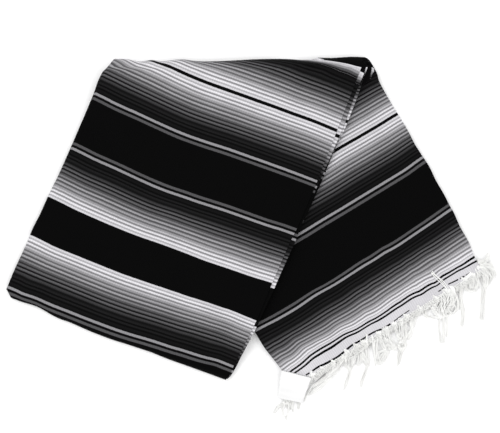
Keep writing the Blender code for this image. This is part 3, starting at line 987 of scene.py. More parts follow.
def weave_group() -> bpy.types.NodeTree:
    """Weft-faced plain weave: height of the picks and how deep a point lies between them. The
    finishes paint shade into the grooves by this depth.

    Returns:
        The group. Its picks have a round crown, flatter over each end of warp.
    """
    crown_power, swell_power, swell_share = 2.5, 3.0, 0.65
    tree, graph, given, leave = new_group(
        "Weft-faced weave", ("Along", "Width", "Pick", "End"),
        (("Height", "NodeSocketFloat"), ("Groove", "NodeSocketFloat")))
    column = graph.math("DIVIDE", given["Width"], given["End"])
    index = graph.math("FLOOR", column)
    odd = graph.math("MODULO", graph.math("ABSOLUTE", index), 2.0)
    row = graph.math("ADD", graph.math("DIVIDE", given["Along"], given["Pick"]),
                     graph.math("MULTIPLY", odd, 0.5))
    within = graph.math("SUBTRACT", graph.math("FRACT", row), 0.5)
    across = graph.math("SUBTRACT", graph.math("FRACT", column), 0.5)
    swell = graph.math("MULTIPLY", graph.crown(across, swell_power), swell_share)
    height = graph.math("MULTIPLY", graph.crown(within, crown_power),
                        graph.math("ADD", 1 - swell_share, swell))
    graph.feed(leave.inputs["Height"], height)
    graph.feed(leave.inputs["Groove"], graph.math("SUBTRACT", 1.0, height, clamp=True))
    return tree


def fuzz_group() -> bpy.types.NodeTree:
    """Loose fibres on yarn: a fine height and a soft change of tone from 0 to 1.

    Returns:
        The group, with the input Scale.
    """
    fine_share, broad_scale = 0.6, 26.0
    tree, graph, given, leave = new_group(
        "Yarn fuzz", ("Scale",), (("Height", "NodeSocketFloat"), ("Tone", "NodeSocketFloat")))
    place = graph.node("ShaderNodeTexCoord").outputs["Object"]
    fine = graph.noise(place, given["Scale"], 3.0, distortion=0.8)
    broad = graph.noise(place, broad_scale, 3.0)
    tone = graph.math("ADD", graph.math("MULTIPLY", fine, fine_share),
                      graph.math("MULTIPLY", broad, 1 - fine_share))
    graph.feed(leave.inputs["Height"], fine)
    graph.feed(leave.inputs["Tone"], tone)
    return tree


# Span of the fuzz's tone that the finishes use
FUZZ_SPAN = (0.3, 0.7)


@dataclass(frozen=True)
class Groups:
    """Node groups that the finishes share."""

    stripes: bpy.types.NodeTree
    weave: bpy.types.NodeTree
    fuzz: bpy.types.NodeTree


def new_material(name: str) -> tuple[bpy.types.Material, Graph, bpy.types.Node]:
    """Material with its graph and its shader node.

    Args:
        name: name of the material.

    Returns:
        The material, its graph and its shader.
    """
    material = bpy.data.materials.new(name)
    material.use_nodes = True
    graph = Graph(material.node_tree)
    return material, graph, material.node_tree.nodes["Principled BSDF"]


def cloth_places(graph: Graph) -> tuple[bpy.types.NodeSocket, bpy.types.NodeSocket]:
    """Place across the cloth and along it, from its UV map.

    Args:
        graph: graph of the cloth's material.

    Returns:
        Both places in metres, the one across first.
    """
    split = graph.node("ShaderNodeSeparateXYZ")
    graph.feed(split.inputs[0], graph.node("ShaderNodeUVMap", uv_map="cloth").outputs[0])
    return split.outputs["X"], split.outputs["Y"]


@dataclass(frozen=True)
class ClothFinish:
    """Striped wool-like cloth, woven with the weft on its face.

    pick and end are the pitch of weft and warp. The picks waver off their line by a share of a
    course. worn has the darkest and the lightest tone of the fuzz, as shares. The grooves between
    the picks are darkened by painted shade.
    """

    name: str = "striped_cloth"
    pick: float = 1.9 * MM
    end: float = 3.9 * MM
    relief: float = 0.42 * MM
    relief_strength: float = 0.75
    fuzz_scale: float = 1400.0
    fuzz_height: float = 0.35
    waver: float = 0.5
    waver_scale: float = 210.0
    waver_stretch: float = 0.35
    # Share by which the grooves between picks are darkened: painted shade
    groove_shade: float = 0.32
    worn: tuple[float, float] = (0.86, 1.10)
    brightness: float = 0.85
    roughness: float = 0.92
    sheen: float = 0.01

    def course(self, graph: Graph, width: object, along: object) -> bpy.types.NodeSocket:
        """Place in the pattern. Each end of warp lets the picks lie a little off the line.

        Args:
            graph: graph of the material.
            width: place across the cloth.
            along: place along it.

        Returns:
            The place in courses.
        """
        drawn_out = graph.point(width, graph.math("MULTIPLY", along, self.waver_stretch))
        noise = graph.noise(drawn_out, self.waver_scale)
        waver = graph.math("MULTIPLY", graph.math("SUBTRACT", noise, 0.5), self.waver)
        return graph.math("ADD", graph.math("DIVIDE", along, COURSE), waver)

    def build(self, groups: Groups) -> bpy.types.Material:
        """Make the material.

        Args:
            groups: shared node groups.

        Returns:
            The cloth's material.
        """
        material, graph, shader = new_material(self.name)
        width, along = cloth_places(graph)
        weave = graph.group(groups.weave, Along=along, Width=width,
                          Pick=self.pick, End=self.end)
        fuzz = graph.group(groups.fuzz, Scale=self.fuzz_scale)
        stripes = graph.group(groups.stripes, Course=self.course(graph, width, along),
                            Width=width)
        # Painted shade: the grooves between the picks are mixed towards black
        groove_shade = graph.math("MULTIPLY", weave.outputs["Groove"], self.groove_shade)
        shaded = graph.mix(groove_shade, stripes.outputs["Color"], grey(0.0))
        low, high = (share * self.brightness for share in self.worn)
        worn = graph.span(fuzz.outputs["Tone"], *FUZZ_SPAN, low, high)
        rough = graph.span(fuzz.outputs["Tone"], *FUZZ_SPAN, self.roughness - 0.06, self.roughness)
        height = graph.math("ADD", weave.outputs["Height"],
                            graph.math("MULTIPLY", fuzz.outputs["Height"], self.fuzz_height))
        graph.fill(shader, Base_Color=graph.dim(shaded, worn), Roughness=rough,
              Normal=graph.bump(height, self.relief_strength, self.relief),
              Specular_IOR_Level=0.04, Sheen_Weight=self.sheen, Sheen_Roughness=0.5)
        return material


@dataclass(frozen=True)
class YarnFinish:
    """Undyed cotton yarn of the warp ends."""

    name: str = "fringe_yarn"
    light: tuple[float, float, float] = (0.91, 0.91, 0.90)
    shade: tuple[float, float, float] = (0.82, 0.82, 0.80)
    fuzz_scale: float = 2200.0
    relief: float = 0.12 * MM
    relief_strength: float = 0.6
    roughness: tuple[float, float] = (0.78, 0.9)

    def build(self, groups: Groups) -> bpy.types.Material:
        """Make the material.

        Args:
            groups: shared node groups.

        Returns:
            The yarn's material.
        """
        material, graph, shader = new_material(self.name)
        fuzz = graph.group(groups.fuzz, Scale=self.fuzz_scale)
        share = graph.span(fuzz.outputs["Tone"], 0.35, 0.65)
        graph.fill(shader, Base_Color=graph.mix(share, (*self.shade, 1.0), (*self.light, 1.0)),
              Roughness=graph.span(share, 0.0, 1.0, *self.roughness),
              Normal=graph.bump(fuzz.outputs["Height"], self.relief_strength, self.relief),
              Specular_IOR_Level=0.2, Sheen_Weight=0.08)
        return material


@dataclass(frozen=True)
class LabelFinish:
    """Bare white woven label, with a fine close weave and painted shade in its grooves."""

    name: str = "label_cloth"
    colour: tuple[float, float, float] = (0.76, 0.76, 0.76)
    # Darker grey that the grooves of the weave are mixed towards, and by how much: painted shade
    groove_shade_colour: tuple[float, float, float] = (0.4, 0.4, 0.42)
    groove_shade: float = 0.12
    pick: float = 0.36 * MM
    end: float = 0.45 * MM
    relief: float = 0.06 * MM
    relief_strength: float = 0.5
    fuzz_scale: float = 900.0
    worn: tuple[float, float] = (0.94, 1.03)

    def build(self, groups: Groups) -> bpy.types.Material:
        """Make the material.

        Args:
            groups: shared node groups.

        Returns:
            The label's material.
        """
        material, graph, shader = new_material(self.name)
        width, along = cloth_places(graph)
        weave = graph.group(groups.weave, Along=along, Width=width,
                          Pick=self.pick, End=self.end)
        fuzz = graph.group(groups.fuzz, Scale=self.fuzz_scale)
        worn = graph.span(fuzz.outputs["Tone"], *FUZZ_SPAN, *self.worn)
        # Painted shade: the grooves of the weave are mixed towards the darker grey
        groove_shade = graph.math("MULTIPLY", weave.outputs["Groove"], self.groove_shade)
        shaded = graph.mix(groove_shade, (*self.colour, 1.0), (*self.groove_shade_colour, 1.0))
        graph.fill(shader, Base_Color=graph.dim(shaded, worn),
              Roughness=graph.span(worn, 0.9, 1.05, 0.5, 0.6),
              Normal=graph.bump(weave.outputs["Height"], self.relief_strength, self.relief),
              Specular_IOR_Level=0.35)
        return material


@dataclass(frozen=True)
class FloorFinish:
    """Plain pale floor, with a faint change of tone."""

    name: str = "floor"
    lightness: float = 0.97
    change: float = 0.004
    scale: float = 3.0

    def build(self) -> bpy.types.Material:
        """Make the floor's material.

        Returns:
            The floor's material.
        """
        material, graph, shader = new_material(self.name)
        place = graph.node("ShaderNodeTexCoord").outputs["Object"]
        tone = graph.span(graph.noise(place, self.scale), 0.3, 0.7,
                          self.lightness - self.change, self.lightness)
        graph.fill(shader, Base_Color=graph.point(tone, tone, tone), Roughness=0.9,
              Specular_IOR_Level=0.1)
        return material


# ---- Sheets ----

Row = list[tuple[Vector, float, float]]
Waves = tuple[tuple[float, float], ...]

# Edges sharper than this are rounded
RIM_ANGLE = 50
RIM_SEGMENTS = 2


def loose_grid(name: str, rows: Sequence[Row], flip: bool) -> bpy.types.Object:
    """Sheet through rows of points, with the cloth's own coordinates as its UV map.

    Args:
        name: name of the piece.
        rows: rows of points, each with its width across and place along the cloth.
        flip: turns the faces over.

    Returns:
        The sheet's object.
    """
    down, wide = len(rows) - 1, len(rows[0]) - 1
    mesh = bmesh.new()
    bmesh.ops.create_grid(mesh, x_segments=wide, y_segments=down, size=1.0)
    uv = mesh.loops.layers.uv.new("cloth")
    places = {}
    for vert in mesh.verts:
        i = round((vert.co.y + 1) / 2 * down)
        j = round((vert.co.x + 1) / 2 * wide)
        point, width, along = rows[i][j]
        vert.co = point
        places[vert] = (width, along)
    for face in mesh.faces:
        face.smooth = True
        for loop in face.loops:
            loop[uv].uv = places[loop.vert]
    if flip:
        bmesh.ops.reverse_faces(mesh, faces=mesh.faces[:])
    data = bpy.data.meshes.new(name)
    mesh.to_mesh(data)
    mesh.free()
    piece = bpy.data.objects.new(name, data)
    bpy.context.scene.collection.objects.link(piece)
    return piece


def thicken(piece: bpy.types.Object, thickness: float, offset: float, rim: float,
            even: bool = True) -> None:
    """Give a sheet its thickness and round its rim. An even wall is thicker round creases.

    Args:
        piece: the sheet.
        thickness: thickness of the wall.
        offset: side of the sheet that it grows to, from -1 to 1.
        rim: width of the rounding.
        even: keeps the wall even round creases.
    """
    wall = piece.modifiers.new("Thickness", "SOLIDIFY")
    wall.thickness = thickness
    wall.offset = offset
    wall.use_even_offset = even
    wall.use_rim = True
    soft = piece.modifiers.new("Rim", "BEVEL")
    soft.width = rim
    soft.segments = RIM_SEGMENTS
    soft.limit_method = "ANGLE"
    soft.angle_limit = math.radians(RIM_ANGLE)


@dataclass(frozen=True)
class Fold:
    """Turn of the pack round the fold at one end.

    wave has how far the fold stands out beyond its round in millimetres, against the share
    across, and hidden_wave what the hidden layers stand out more than that. drift has how far
    the top layer's stripes lie farther out round the fold, in courses. The sides are tucked in
    round the fold by tuck_left and tuck_right.
    """

    radius: float
    height: float
    tuck_left: float
    tuck_right: float
    wave: Waves
    hidden_wave: Waves
    drift: Waves

    def bulge(self, t: float, hidden: bool) -> float:
        """How far the fold stands out beyond its round at share t across."""
        extra = wave(self.hidden_wave, t) if hidden else 0.0
        return wave(self.wave, t) + extra

    def shift(self, turn: float, t: float) -> float:
        """What is added to the place in the pattern round the fold, in courses."""
        return wave(self.drift, t) / MM * ease(turn / DRIFT_TURN)


# Turn over which a fold's drift of the stripes grows
DRIFT_TURN = 0.45
# How much the hidden layers are tucked in round the upper fold at the right, and more than the
# top layer at the left
HIDDEN_TUCK = 9 * MM
HIDDEN_STEP = 2 * MM

UPPER = Fold(
    PACK + SEAM / 2, PACK + SEAM / 2, 16 * MM, 50 * MM,
    wave=((0.00, 4.6), (0.05, 3.8), (0.10, 0.0), (0.13, 0.3), (0.16, 1.8), (0.20, -0.3),
          (0.25, 1.2), (0.29, 2.0), (0.35, -1.0), (0.42, -1.8), (0.50, -1.2), (0.60, 0.2),
          (0.68, 0.5), (0.75, 0.1), (0.79, -0.6), (0.83, -1.7), (0.87, -1.7), (0.92, -0.9),
          (1.00, -0.6)),
    hidden_wave=((0.00, 0.0), (0.70, 0.0), (0.78, 0.8), (0.805, 1.6), (0.83, 6.0),
                 (0.87, 5.0), (0.92, 5.2), (0.95, 5.6), (1.00, 4.5)),
    drift=((0.00, -3.4), (0.10, -2.8), (0.20, -1.2), (0.30, -0.3), (0.40, 0.0), (0.60, 0.0),
           (0.70, 1.0), (0.78, 2.4), (0.88, 3.0), (1.00, 2.8)))
LOWER = Fold(
    PACK / 2, PACK / 2, 9 * MM, 3 * MM,
    wave=((0.00, 2.0), (0.04, 0.8), (0.12, -2.8), (0.20, 0.2), (0.24, 0.6), (0.28, -0.2),
          (0.36, 1.1), (0.42, 1.6), (0.48, 1.6), (0.54, 0.6), (0.60, 0.1), (0.65, -0.3),
          (0.72, 0.8), (0.82, 0.9), (1.00, 0.5)),
    hidden_wave=((0.00, 0.0), (1.00, 0.0)),
    drift=((0.00, 0.0), (1.00, 0.0)))


class Sway(NamedTuple):
    """Soft sway of a hidden edge along the stretch: waves in radians, size and share of phase."""

    waves: float
    size: float
    phase: float


SWAYS = (Sway(19, 1.0, 1), Sway(43, 0.6, 2))
# What one edge's phase has more than the next one's
EDGE_PHASE = 1.7


@dataclass
class Sheet:
    """One sheet of the blanket, from its section, its rows along the pack and its chart.

    flat is its flat size and rests_on the pieces under it; neither is used. waver is how far a
    hidden edge sways, and seed where its waves start.
    """

    name: str
    nodes: tuple[str, ...]
    stretch: Stretch
    level: Callable[[Vector, float, float], tuple[float, float]]
    chart: StripeChart
    section: Sequence[Spot]
    stations: Sequence[Station]
    flat: tuple[float, float]
    rests_on: tuple[str, ...]
    thickness: float = 1.7 * MM
    offset: float = 0.0
    hidden: bool = True
    waver: float = 0.0
    seed: int = 1

    def hem(self, spot: Spot, station: Station) -> tuple[float, float]:
        """Distance by which a point stands out beyond the side, and its stripes' drift.

        Args:
            spot: place in the section.
            station: row along the pack.

        Returns:
            The distance in metres and the drift in courses.
        """
        if spot.edge is None:
            return spot.reach, 0.0
        held = ease((spot.t - HEM_START) / (1 - HEM_START))
        reach, drift = self.stretch.hem(spot.edge, station.s)
        if station.end is End.UPPER:
            turned = BACK.hem(TURNED_EDGES[spot.edge], 0.0)[0]
            reach += (turned - reach) * station.turn / TURN
        phase = self.seed + EDGE_PHASE * list(Edge).index(spot.edge)
        sway = sum(row.size * math.sin(row.waves * station.s + row.phase * phase)
                   for row in SWAYS)
        return (reach + self.waver * sway + spot.reach) * held, drift

    def place(self, spot: Spot, station: Station) -> Vector:
        """Point of the sheet at a spot of its section and a row along the pack.

        Args:
            spot: place in the section.
            station: row along the pack.

        Returns:
            The point.
        """
        s, turn = station.s, station.turn
        reach = self.hem(spot, station)[0] + self.stretch.left_shift(s, spot.t)
        if station.end is End.FLAT:
            point = self.stretch.spot(s, spot.t, reach)
            point += self.stretch.outward(s) * station.step_out
            base, top = self.level(point, s, spot.t)
            return Vector((*point, top - (top - base) * spot.depth / PACK))
        fold = UPPER if station.end is End.UPPER else LOWER
        right = fold.tuck_right
        if self.hidden and station.end is End.UPPER:
            right = HIDDEN_TUCK * (1 + math.cos(turn))
        left = fold.tuck_left + (HIDDEN_STEP if self.hidden else 0.0)
        swing = math.sin(turn)
        reach += ((1 - spot.t) ** 3 * left - spot.t ** 3 * right) * swing
        point = self.stretch.spot(s, spot.t, reach)
        if self.hidden and station.end is End.UPPER:
            other = BACK.spot(0.0, spot.t, reach)
            point = point.lerp(other, turn / TURN)
        arm = fold.radius - spot.depth
        bulge = fold.bulge(spot.t, self.hidden) * swing * swing
        point += self.stretch.outward(s) * (arm * swing + bulge)
        return Vector((*point, fold.height + arm * math.cos(turn)))

    def along(self, spot: Spot, station: Station) -> float:
        """Place along the cloth at a spot of the section, in metres of the pattern.

        Args:
            spot: place in the section.
            station: row along the pack.

        Returns:
            The place in metres.
        """
        course = self.chart.course(station.s, spot.t) + self.hem(spot, station)[1]
        if station.end is not End.FLAT:
            fold = UPPER if station.end is End.UPPER else LOWER
            sign = -1 if station.end is End.UPPER else 1
            course += sign * max(fold.radius - spot.depth, MM) * station.turn / COURSE
            if not self.hidden:
                course += fold.shift(station.turn, spot.t)
        elif station.step_out:
            course -= station.step_out / COURSE
        return course * COURSE

    def build(self, finish: bpy.types.Material) -> bpy.types.Object:
        """Make the sheet and dress it.

        Args:
            finish: the cloth's material.

        Returns:
            The sheet's object.
        """
        rows = [[(self.place(spot, station), spot.width, self.along(spot, station))
                 for spot in self.section] for station in self.stations]
        piece = loose_grid(self.name, rows, flip=True)
        thicken(piece, self.thickness, self.offset, 0.5 * MM, even=not self.hidden)
        piece.data.materials.append(finish)
        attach(piece, "root")
        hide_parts(*self.nodes)
        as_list(self.rests_on)
        LOG.info("%s: %d by %d", self.name, len(rows), len(rows[0]))
        return piece


def arc(radius: float, centre: float, start: float, end: float, steps: int) -> list[tuple]:
    """Reach and depth round a fold. Turn 0 is its top, and a right fold has positive turns."""
    turns = [start + (end - start) * share for share in shares(steps)]
    return [(radius * math.sin(turn), centre - radius * math.cos(turn)) for turn in turns]


class SectionBuilder:
    """Collects the spots of a folded section and counts the cloth's width between them."""

    def __init__(self) -> None:
        """Start an empty section."""
        self.spots: list[Spot] = []
        self.width = 0.0

    def add(self, t: float, reach: float, depth: float, edge: Optional[Edge] = None) -> None:
        """Add one spot.

        Args:
            t: share across.
            reach: how far the spot lies beyond the side.
            depth: depth below the pack's top.
            edge: edge that the spot belongs to.
        """
        if self.spots:
            last = self.spots[-1]
            step = Vector(((t - last.t) * MEAN_WIDTH + reach - last.reach,
                           depth - last.depth)).length
            self.width += step
        self.spots.append(Spot(t, reach, depth, edge, self.width))

    def run(self, start: float, end: float, depth: float, edge: Edge, count: int,
            reach: float = 0.0) -> None:
        """Add a layer that runs flat from one share across to another.

        Args:
            start: share across where the layer starts.
            end: share across where it ends.
            depth: depth below the pack's top.
            edge: its edge at the right.
            count: number of spans.
            reach: how far it lies beyond the right side.
        """
        for share in shares(count):
            t = start + (end - start) * share
            if t > HEM_START:
                self.add(t, reach, depth, edge)
            else:
                self.add(t, 0.0, depth)


def top_section(lip_turn: float, across: int, lip_steps: int) -> list[Spot]:
    """Section of a top layer: its lip round the left fold, then its flat top.

    Args:
        lip_turn: turn of the lip.
        across: spans across the top.
        lip_steps: spans round the lip.

    Returns:
        The spots from the lip's end on.
    """
    section = SectionBuilder()
    for share in shares(lip_steps):
        turn = lip_turn * (1 - share)
        section.add(0.0, -FOLD * math.sin(turn), FOLD * (1 - math.cos(turn)))
    for share in shares(across)[1:]:
        section.add(share, 0.0, 0.0, Edge.SELVAGE if share > HEM_START else None)
    return section.spots


# Depths of the seven hidden layers, and half the thickness of one
LAYERS = tuple(UNDER + (PACK - UNDER) * (i + 0.5) / 7 for i in range(7))
HALF_LAYER = (PACK - UNDER) / 14
# Spans across one layer, and round a fold
BOOK_RUN = 40
FOLD_STEPS = 7
# Shares across where a hidden layer's flat run ends at its left fold and at its right one, and
# where the fourth layer ends inside the left fold
LEFT_FOLD = 0.02
RIGHT_FOLD = 0.98
FREE_EDGE = 0.004
# How far the left folds of the upper and of the lower layers lie inside the side
UPPER_INSET = 0.6 * MM
LOWER_INSET = 0.4 * MM
# Reach of the layers that end in a right fold, so that its round comes out at the edge
NOSE = -HALF_LAYER * 1.9
# Share across beyond which an edge's reach and drift draw the cloth with them
HEM_START = 0.82


def upper_book() -> list[Spot]:
    """Second, third and fourth layer: a left fold inside the top layer's, then a right one.

    Returns:
        The spots of its section.
    """
    second, third, fourth = LAYERS[:3]
    section = SectionBuilder()
    section.run(1.0, LEFT_FOLD, second, Edge.SECOND_SELVAGE, BOOK_RUN)
    for reach, depth in arc(HALF_LAYER, (second + third) / 2, 0.0, -TURN, FOLD_STEPS):
        section.add(0.0, UPPER_INSET + reach, depth)
    section.run(LEFT_FOLD, 1.0, third, Edge.FOLD, BOOK_RUN, NOSE)
    for reach, depth in arc(HALF_LAYER, (third + fourth) / 2, 0.0, TURN, FOLD_STEPS)[1:]:
        section.add(1.0, NOSE + reach, depth, Edge.FOLD)
    section.run(RIGHT_FOLD, FREE_EDGE, fourth, Edge.FOLD, BOOK_RUN, NOSE)
    return section.spots


def lower_book() -> list[Spot]:
    """The four lower layers: seventh, sixth and fifth, and the eighth round them.

    Returns:
        The spots of its section.
    """
    fifth, sixth, seventh, eighth = LAYERS[3:]
    section = SectionBuilder()
    section.run(1.0, LEFT_FOLD, seventh, Edge.UNDER_SECOND, BOOK_RUN)
    for reach, depth in arc(HALF_LAYER, (sixth + seventh) / 2, -TURN, 0.0, FOLD_STEPS):
        section.add(0.0, LOWER_INSET + reach, depth)
    section.run(LEFT_FOLD, 1.0, sixth, Edge.UNDER_FOLD, BOOK_RUN, NOSE)
    for reach, depth in arc(HALF_LAYER, (fifth + sixth) / 2, TURN, 0.0, FOLD_STEPS)[1:]:
        section.add(1.0, NOSE + reach, depth, Edge.UNDER_FOLD)
    section.run(RIGHT_FOLD, LEFT_FOLD, fifth, Edge.UNDER_FOLD, BOOK_RUN, NOSE)
    for reach, depth in arc((eighth - fifth) / 2, (fifth + eighth) / 2, 0.0, -TURN, FOLD_STEPS):
        section.add(0.0, reach, depth)
    section.run(LEFT_FOLD, 1.0, eighth, Edge.UNDER_SELVAGE, BOOK_RUN)
    return section.spots


def end_spaced(count: int, crowd: float = 0.45) -> list[float]:
    """Shares from 0 to 1 that are closer together near both ends."""
    return [(1 - crowd) * share + crowd * ease(share) for share in shares(count)]


def flat_rows(count: int, start: float = 0.0, end: float = 1.0) -> list[Station]:
    """Rows along the flat of a stretch."""
    return [Station(End.FLAT, start + (end - start) * s) for s in end_spaced(count)]


def fold_rows(end: End, start: float, stop: float, steps: int) -> list[Station]:
    """Rows round the fold of one end, from one turn to another."""
    s = 0.0 if end is End.UPPER else 1.0
    return [Station(end, s, start + (stop - start) * share) for share in shares(steps)]


# Turn of a top layer's lip round the lengthwise fold, and at an open end, in degrees. It opens
# over a share of the length.
FULL_LIP = 172
OPEN_LIP = 100
LIP_OPENS = 0.07


@dataclass
class TopLayer(Sheet):
    """Top layer of a stretch, whose lip opens towards the ends of the stretch."""

    hidden: bool = False
    thickness: float = CLOTH - 0.1 * MM
    offset: float = -1.0
    opens: bool = True

    def place(self, spot: Spot, station: Station) -> Vector:
        """Point of the layer, with its lip turned less near an open end.

        Args:
            spot: place in the section.
            station: row along the pack.

        Returns:
            The point.
        """
        if spot.t == 0.0 and spot.depth > 0.0:
            full = math.radians(FULL_LIP)
            limit = full
            if self.opens:
                near = ease(min(station.s, 1 - station.s) / LIP_OPENS)
                limit = math.radians(OPEN_LIP + (FULL_LIP - OPEN_LIP) * near)
            turn = math.acos(max(-1.0, 1 - spot.depth / FOLD)) * limit / full
            spot = spot._replace(reach=-FOLD * math.sin(turn), depth=FOLD * (1 - math.cos(turn)))
        return super().place(spot, station)


@dataclass(frozen=True)
class Blanket:
    """Every sheet of the folded blanket.

    across and lip_steps are the spans of a top layer's section. The rows are those along the
    flat of a stretch, and the steps those round a fold. The hidden layers' turns round the upper
    fold stop short of the back stretch, at hidden_turn, and the back stretch starts inset from
    the upper fold. Its lowest layers step out under the fringe.
    """

    across: int = 120
    lip_steps: int = 9
    top_rows: int = 170
    front_hidden_rows: int = 92
    back_hidden_rows: int = 64
    hidden_turn: float = TURN * 0.98
    inset: float = 3 * SEAM / 0.45
    ledge: float = 3.4 * MM
    ledge_rows: int = 3

    def front_stations(self, turn: float, upper_steps: int, rows: int,
                       lower_steps: int = 0) -> list[Station]:
        """Rows of a front sheet: round the upper fold, along the flat and round the lower fold.

        Args:
            turn: turn round the upper fold at which they start.
            upper_steps: steps round the upper fold.
            rows: rows along the flat.
            lower_steps: steps round the lower fold, or 0 for a sheet that ends before it.

        Returns:
            The rows from the back stretch on.
        """
        stations = fold_rows(End.UPPER, turn, 0.0, upper_steps)[:-1] + flat_rows(rows)
        if lower_steps:
            stations += fold_rows(End.LOWER, 0.0, TURN, lower_steps)[1:]
        return stations

    def front(self) -> tuple[Sheet, ...]:
        """Sheets of the front stretch.

        Returns:
            Its top layer and its two books of hidden layers.
        """
        top = top_section(math.radians(FULL_LIP), self.across, self.lip_steps)
        hidden_rows = self.front_hidden_rows
        return (
            TopLayer("front_stretch_cloth", ("front_stretch",), FRONT, front_level, FRONT_CHART,
                     top, self.front_stations(TURN, 22, self.top_rows, 16), (0.40, 0.532),
                     ("front_layers_upper",)),
            Sheet("front_layers_upper", ("front_layers",), FRONT, front_level, FRONT_CHART,
                  upper_book(), self.front_stations(self.hidden_turn, 14, hidden_rows, 10),
                  (1.17, 0.49), ("front_layers_lower",), waver=0.5 * MM, seed=2),
            Sheet("front_layers_lower", ("front_layers",), FRONT, front_level, FRONT_CHART,
                  lower_book(), self.front_stations(self.hidden_turn, 12, hidden_rows),
                  (1.56, 0.47), ("back_stretch",), waver=0.5 * MM, seed=5),
        )

    def back(self) -> tuple[Sheet, ...]:
        """Sheets of the back stretch.

        Returns:
            Its top layer and its two books of hidden layers.
        """
        top = top_section(math.radians(FULL_LIP), self.across, self.lip_steps)
        hidden_rows = flat_rows(self.back_hidden_rows, self.inset, 1.0)
        ledge = [Station(End.FLAT, 1.0, 0.0, (row + 1) * self.ledge / self.ledge_rows)
                 for row in range(self.ledge_rows)]
        return (
            TopLayer("back_stretch_cloth", ("back_stretch",), BACK, back_level, BACK_CHART, top,
                     flat_rows(self.top_rows, self.inset, 1.0), (0.37, 0.47),
                     ("back_layers_upper",), opens=False),
            Sheet("back_layers_upper", ("back_layers",), BACK, back_level, BACK_CHART,
                  upper_book(), hidden_rows, (1.08, 0.47), ("back_layers_lower",),
                  waver=0.4 * MM, seed=3),
            Sheet("back_layers_lower", ("back_layers",), BACK, back_level, BACK_CHART,
                  lower_book(), hidden_rows + ledge, (1.45, 0.474), (), waver=0.4 * MM, seed=7),
        )

    def build(self, finish: bpy.types.Material) -> list[bpy.types.Object]:
        """Build every sheet.

        Args:
            finish: the cloth's material.

        Returns:
            The sheets, from the top of the pack down.
        """
        return [sheet.build(finish) for sheet in (*self.front(), *self.back())]


# ---- Fringe ----


YARN_RADIUS = 0.85 * MM
# Short warp ends along a fringed end: their number, and how far out each point of one lies and
# how far it has dropped, in millimetres. The last point lies at random between two distances.
HEM_ENDS = 190
HEM_RUN = ((-2.0, 0.0), (1.0, 0.4), (4.0, 2.5))
HEM_TIP = (6, 9)
TIP_DROP = 5.0
# How far a short end lies aside at random, as a share across
HEM_SWAY = 0.002
# Lanes of a lock's yarns: how far they sway, by waves along the lock and from yarn to yarn, how
# far they lie off at random, and how much higher one yarn in three lies
LANE_SWAY = 0.35
LANE_WAVES = 1.9
LANE_PHASE = 2.4
LANE_LOOSE = 0.4 * MM
LANE_LIFT = 0.8 * MM
# A yarn rests on the cloth up to this far beyond its end
OVERHANG = 2 * MM
# A lock whose first place is above this comes over the edge of the cloth
EDGE_HEIGHT = 14 * MM
# A lock whose last place is below this has cut ends there
LOOSE_HEIGHT = 3.2 * MM


class Lock(NamedTuple):
    """Lock of warp ends that lies along a run of places.

    yarns is their number. Each place has x, y, height and half width, in millimetres.
    """

    yarns: int
    run: tuple[tuple[float, float, float, float], ...]


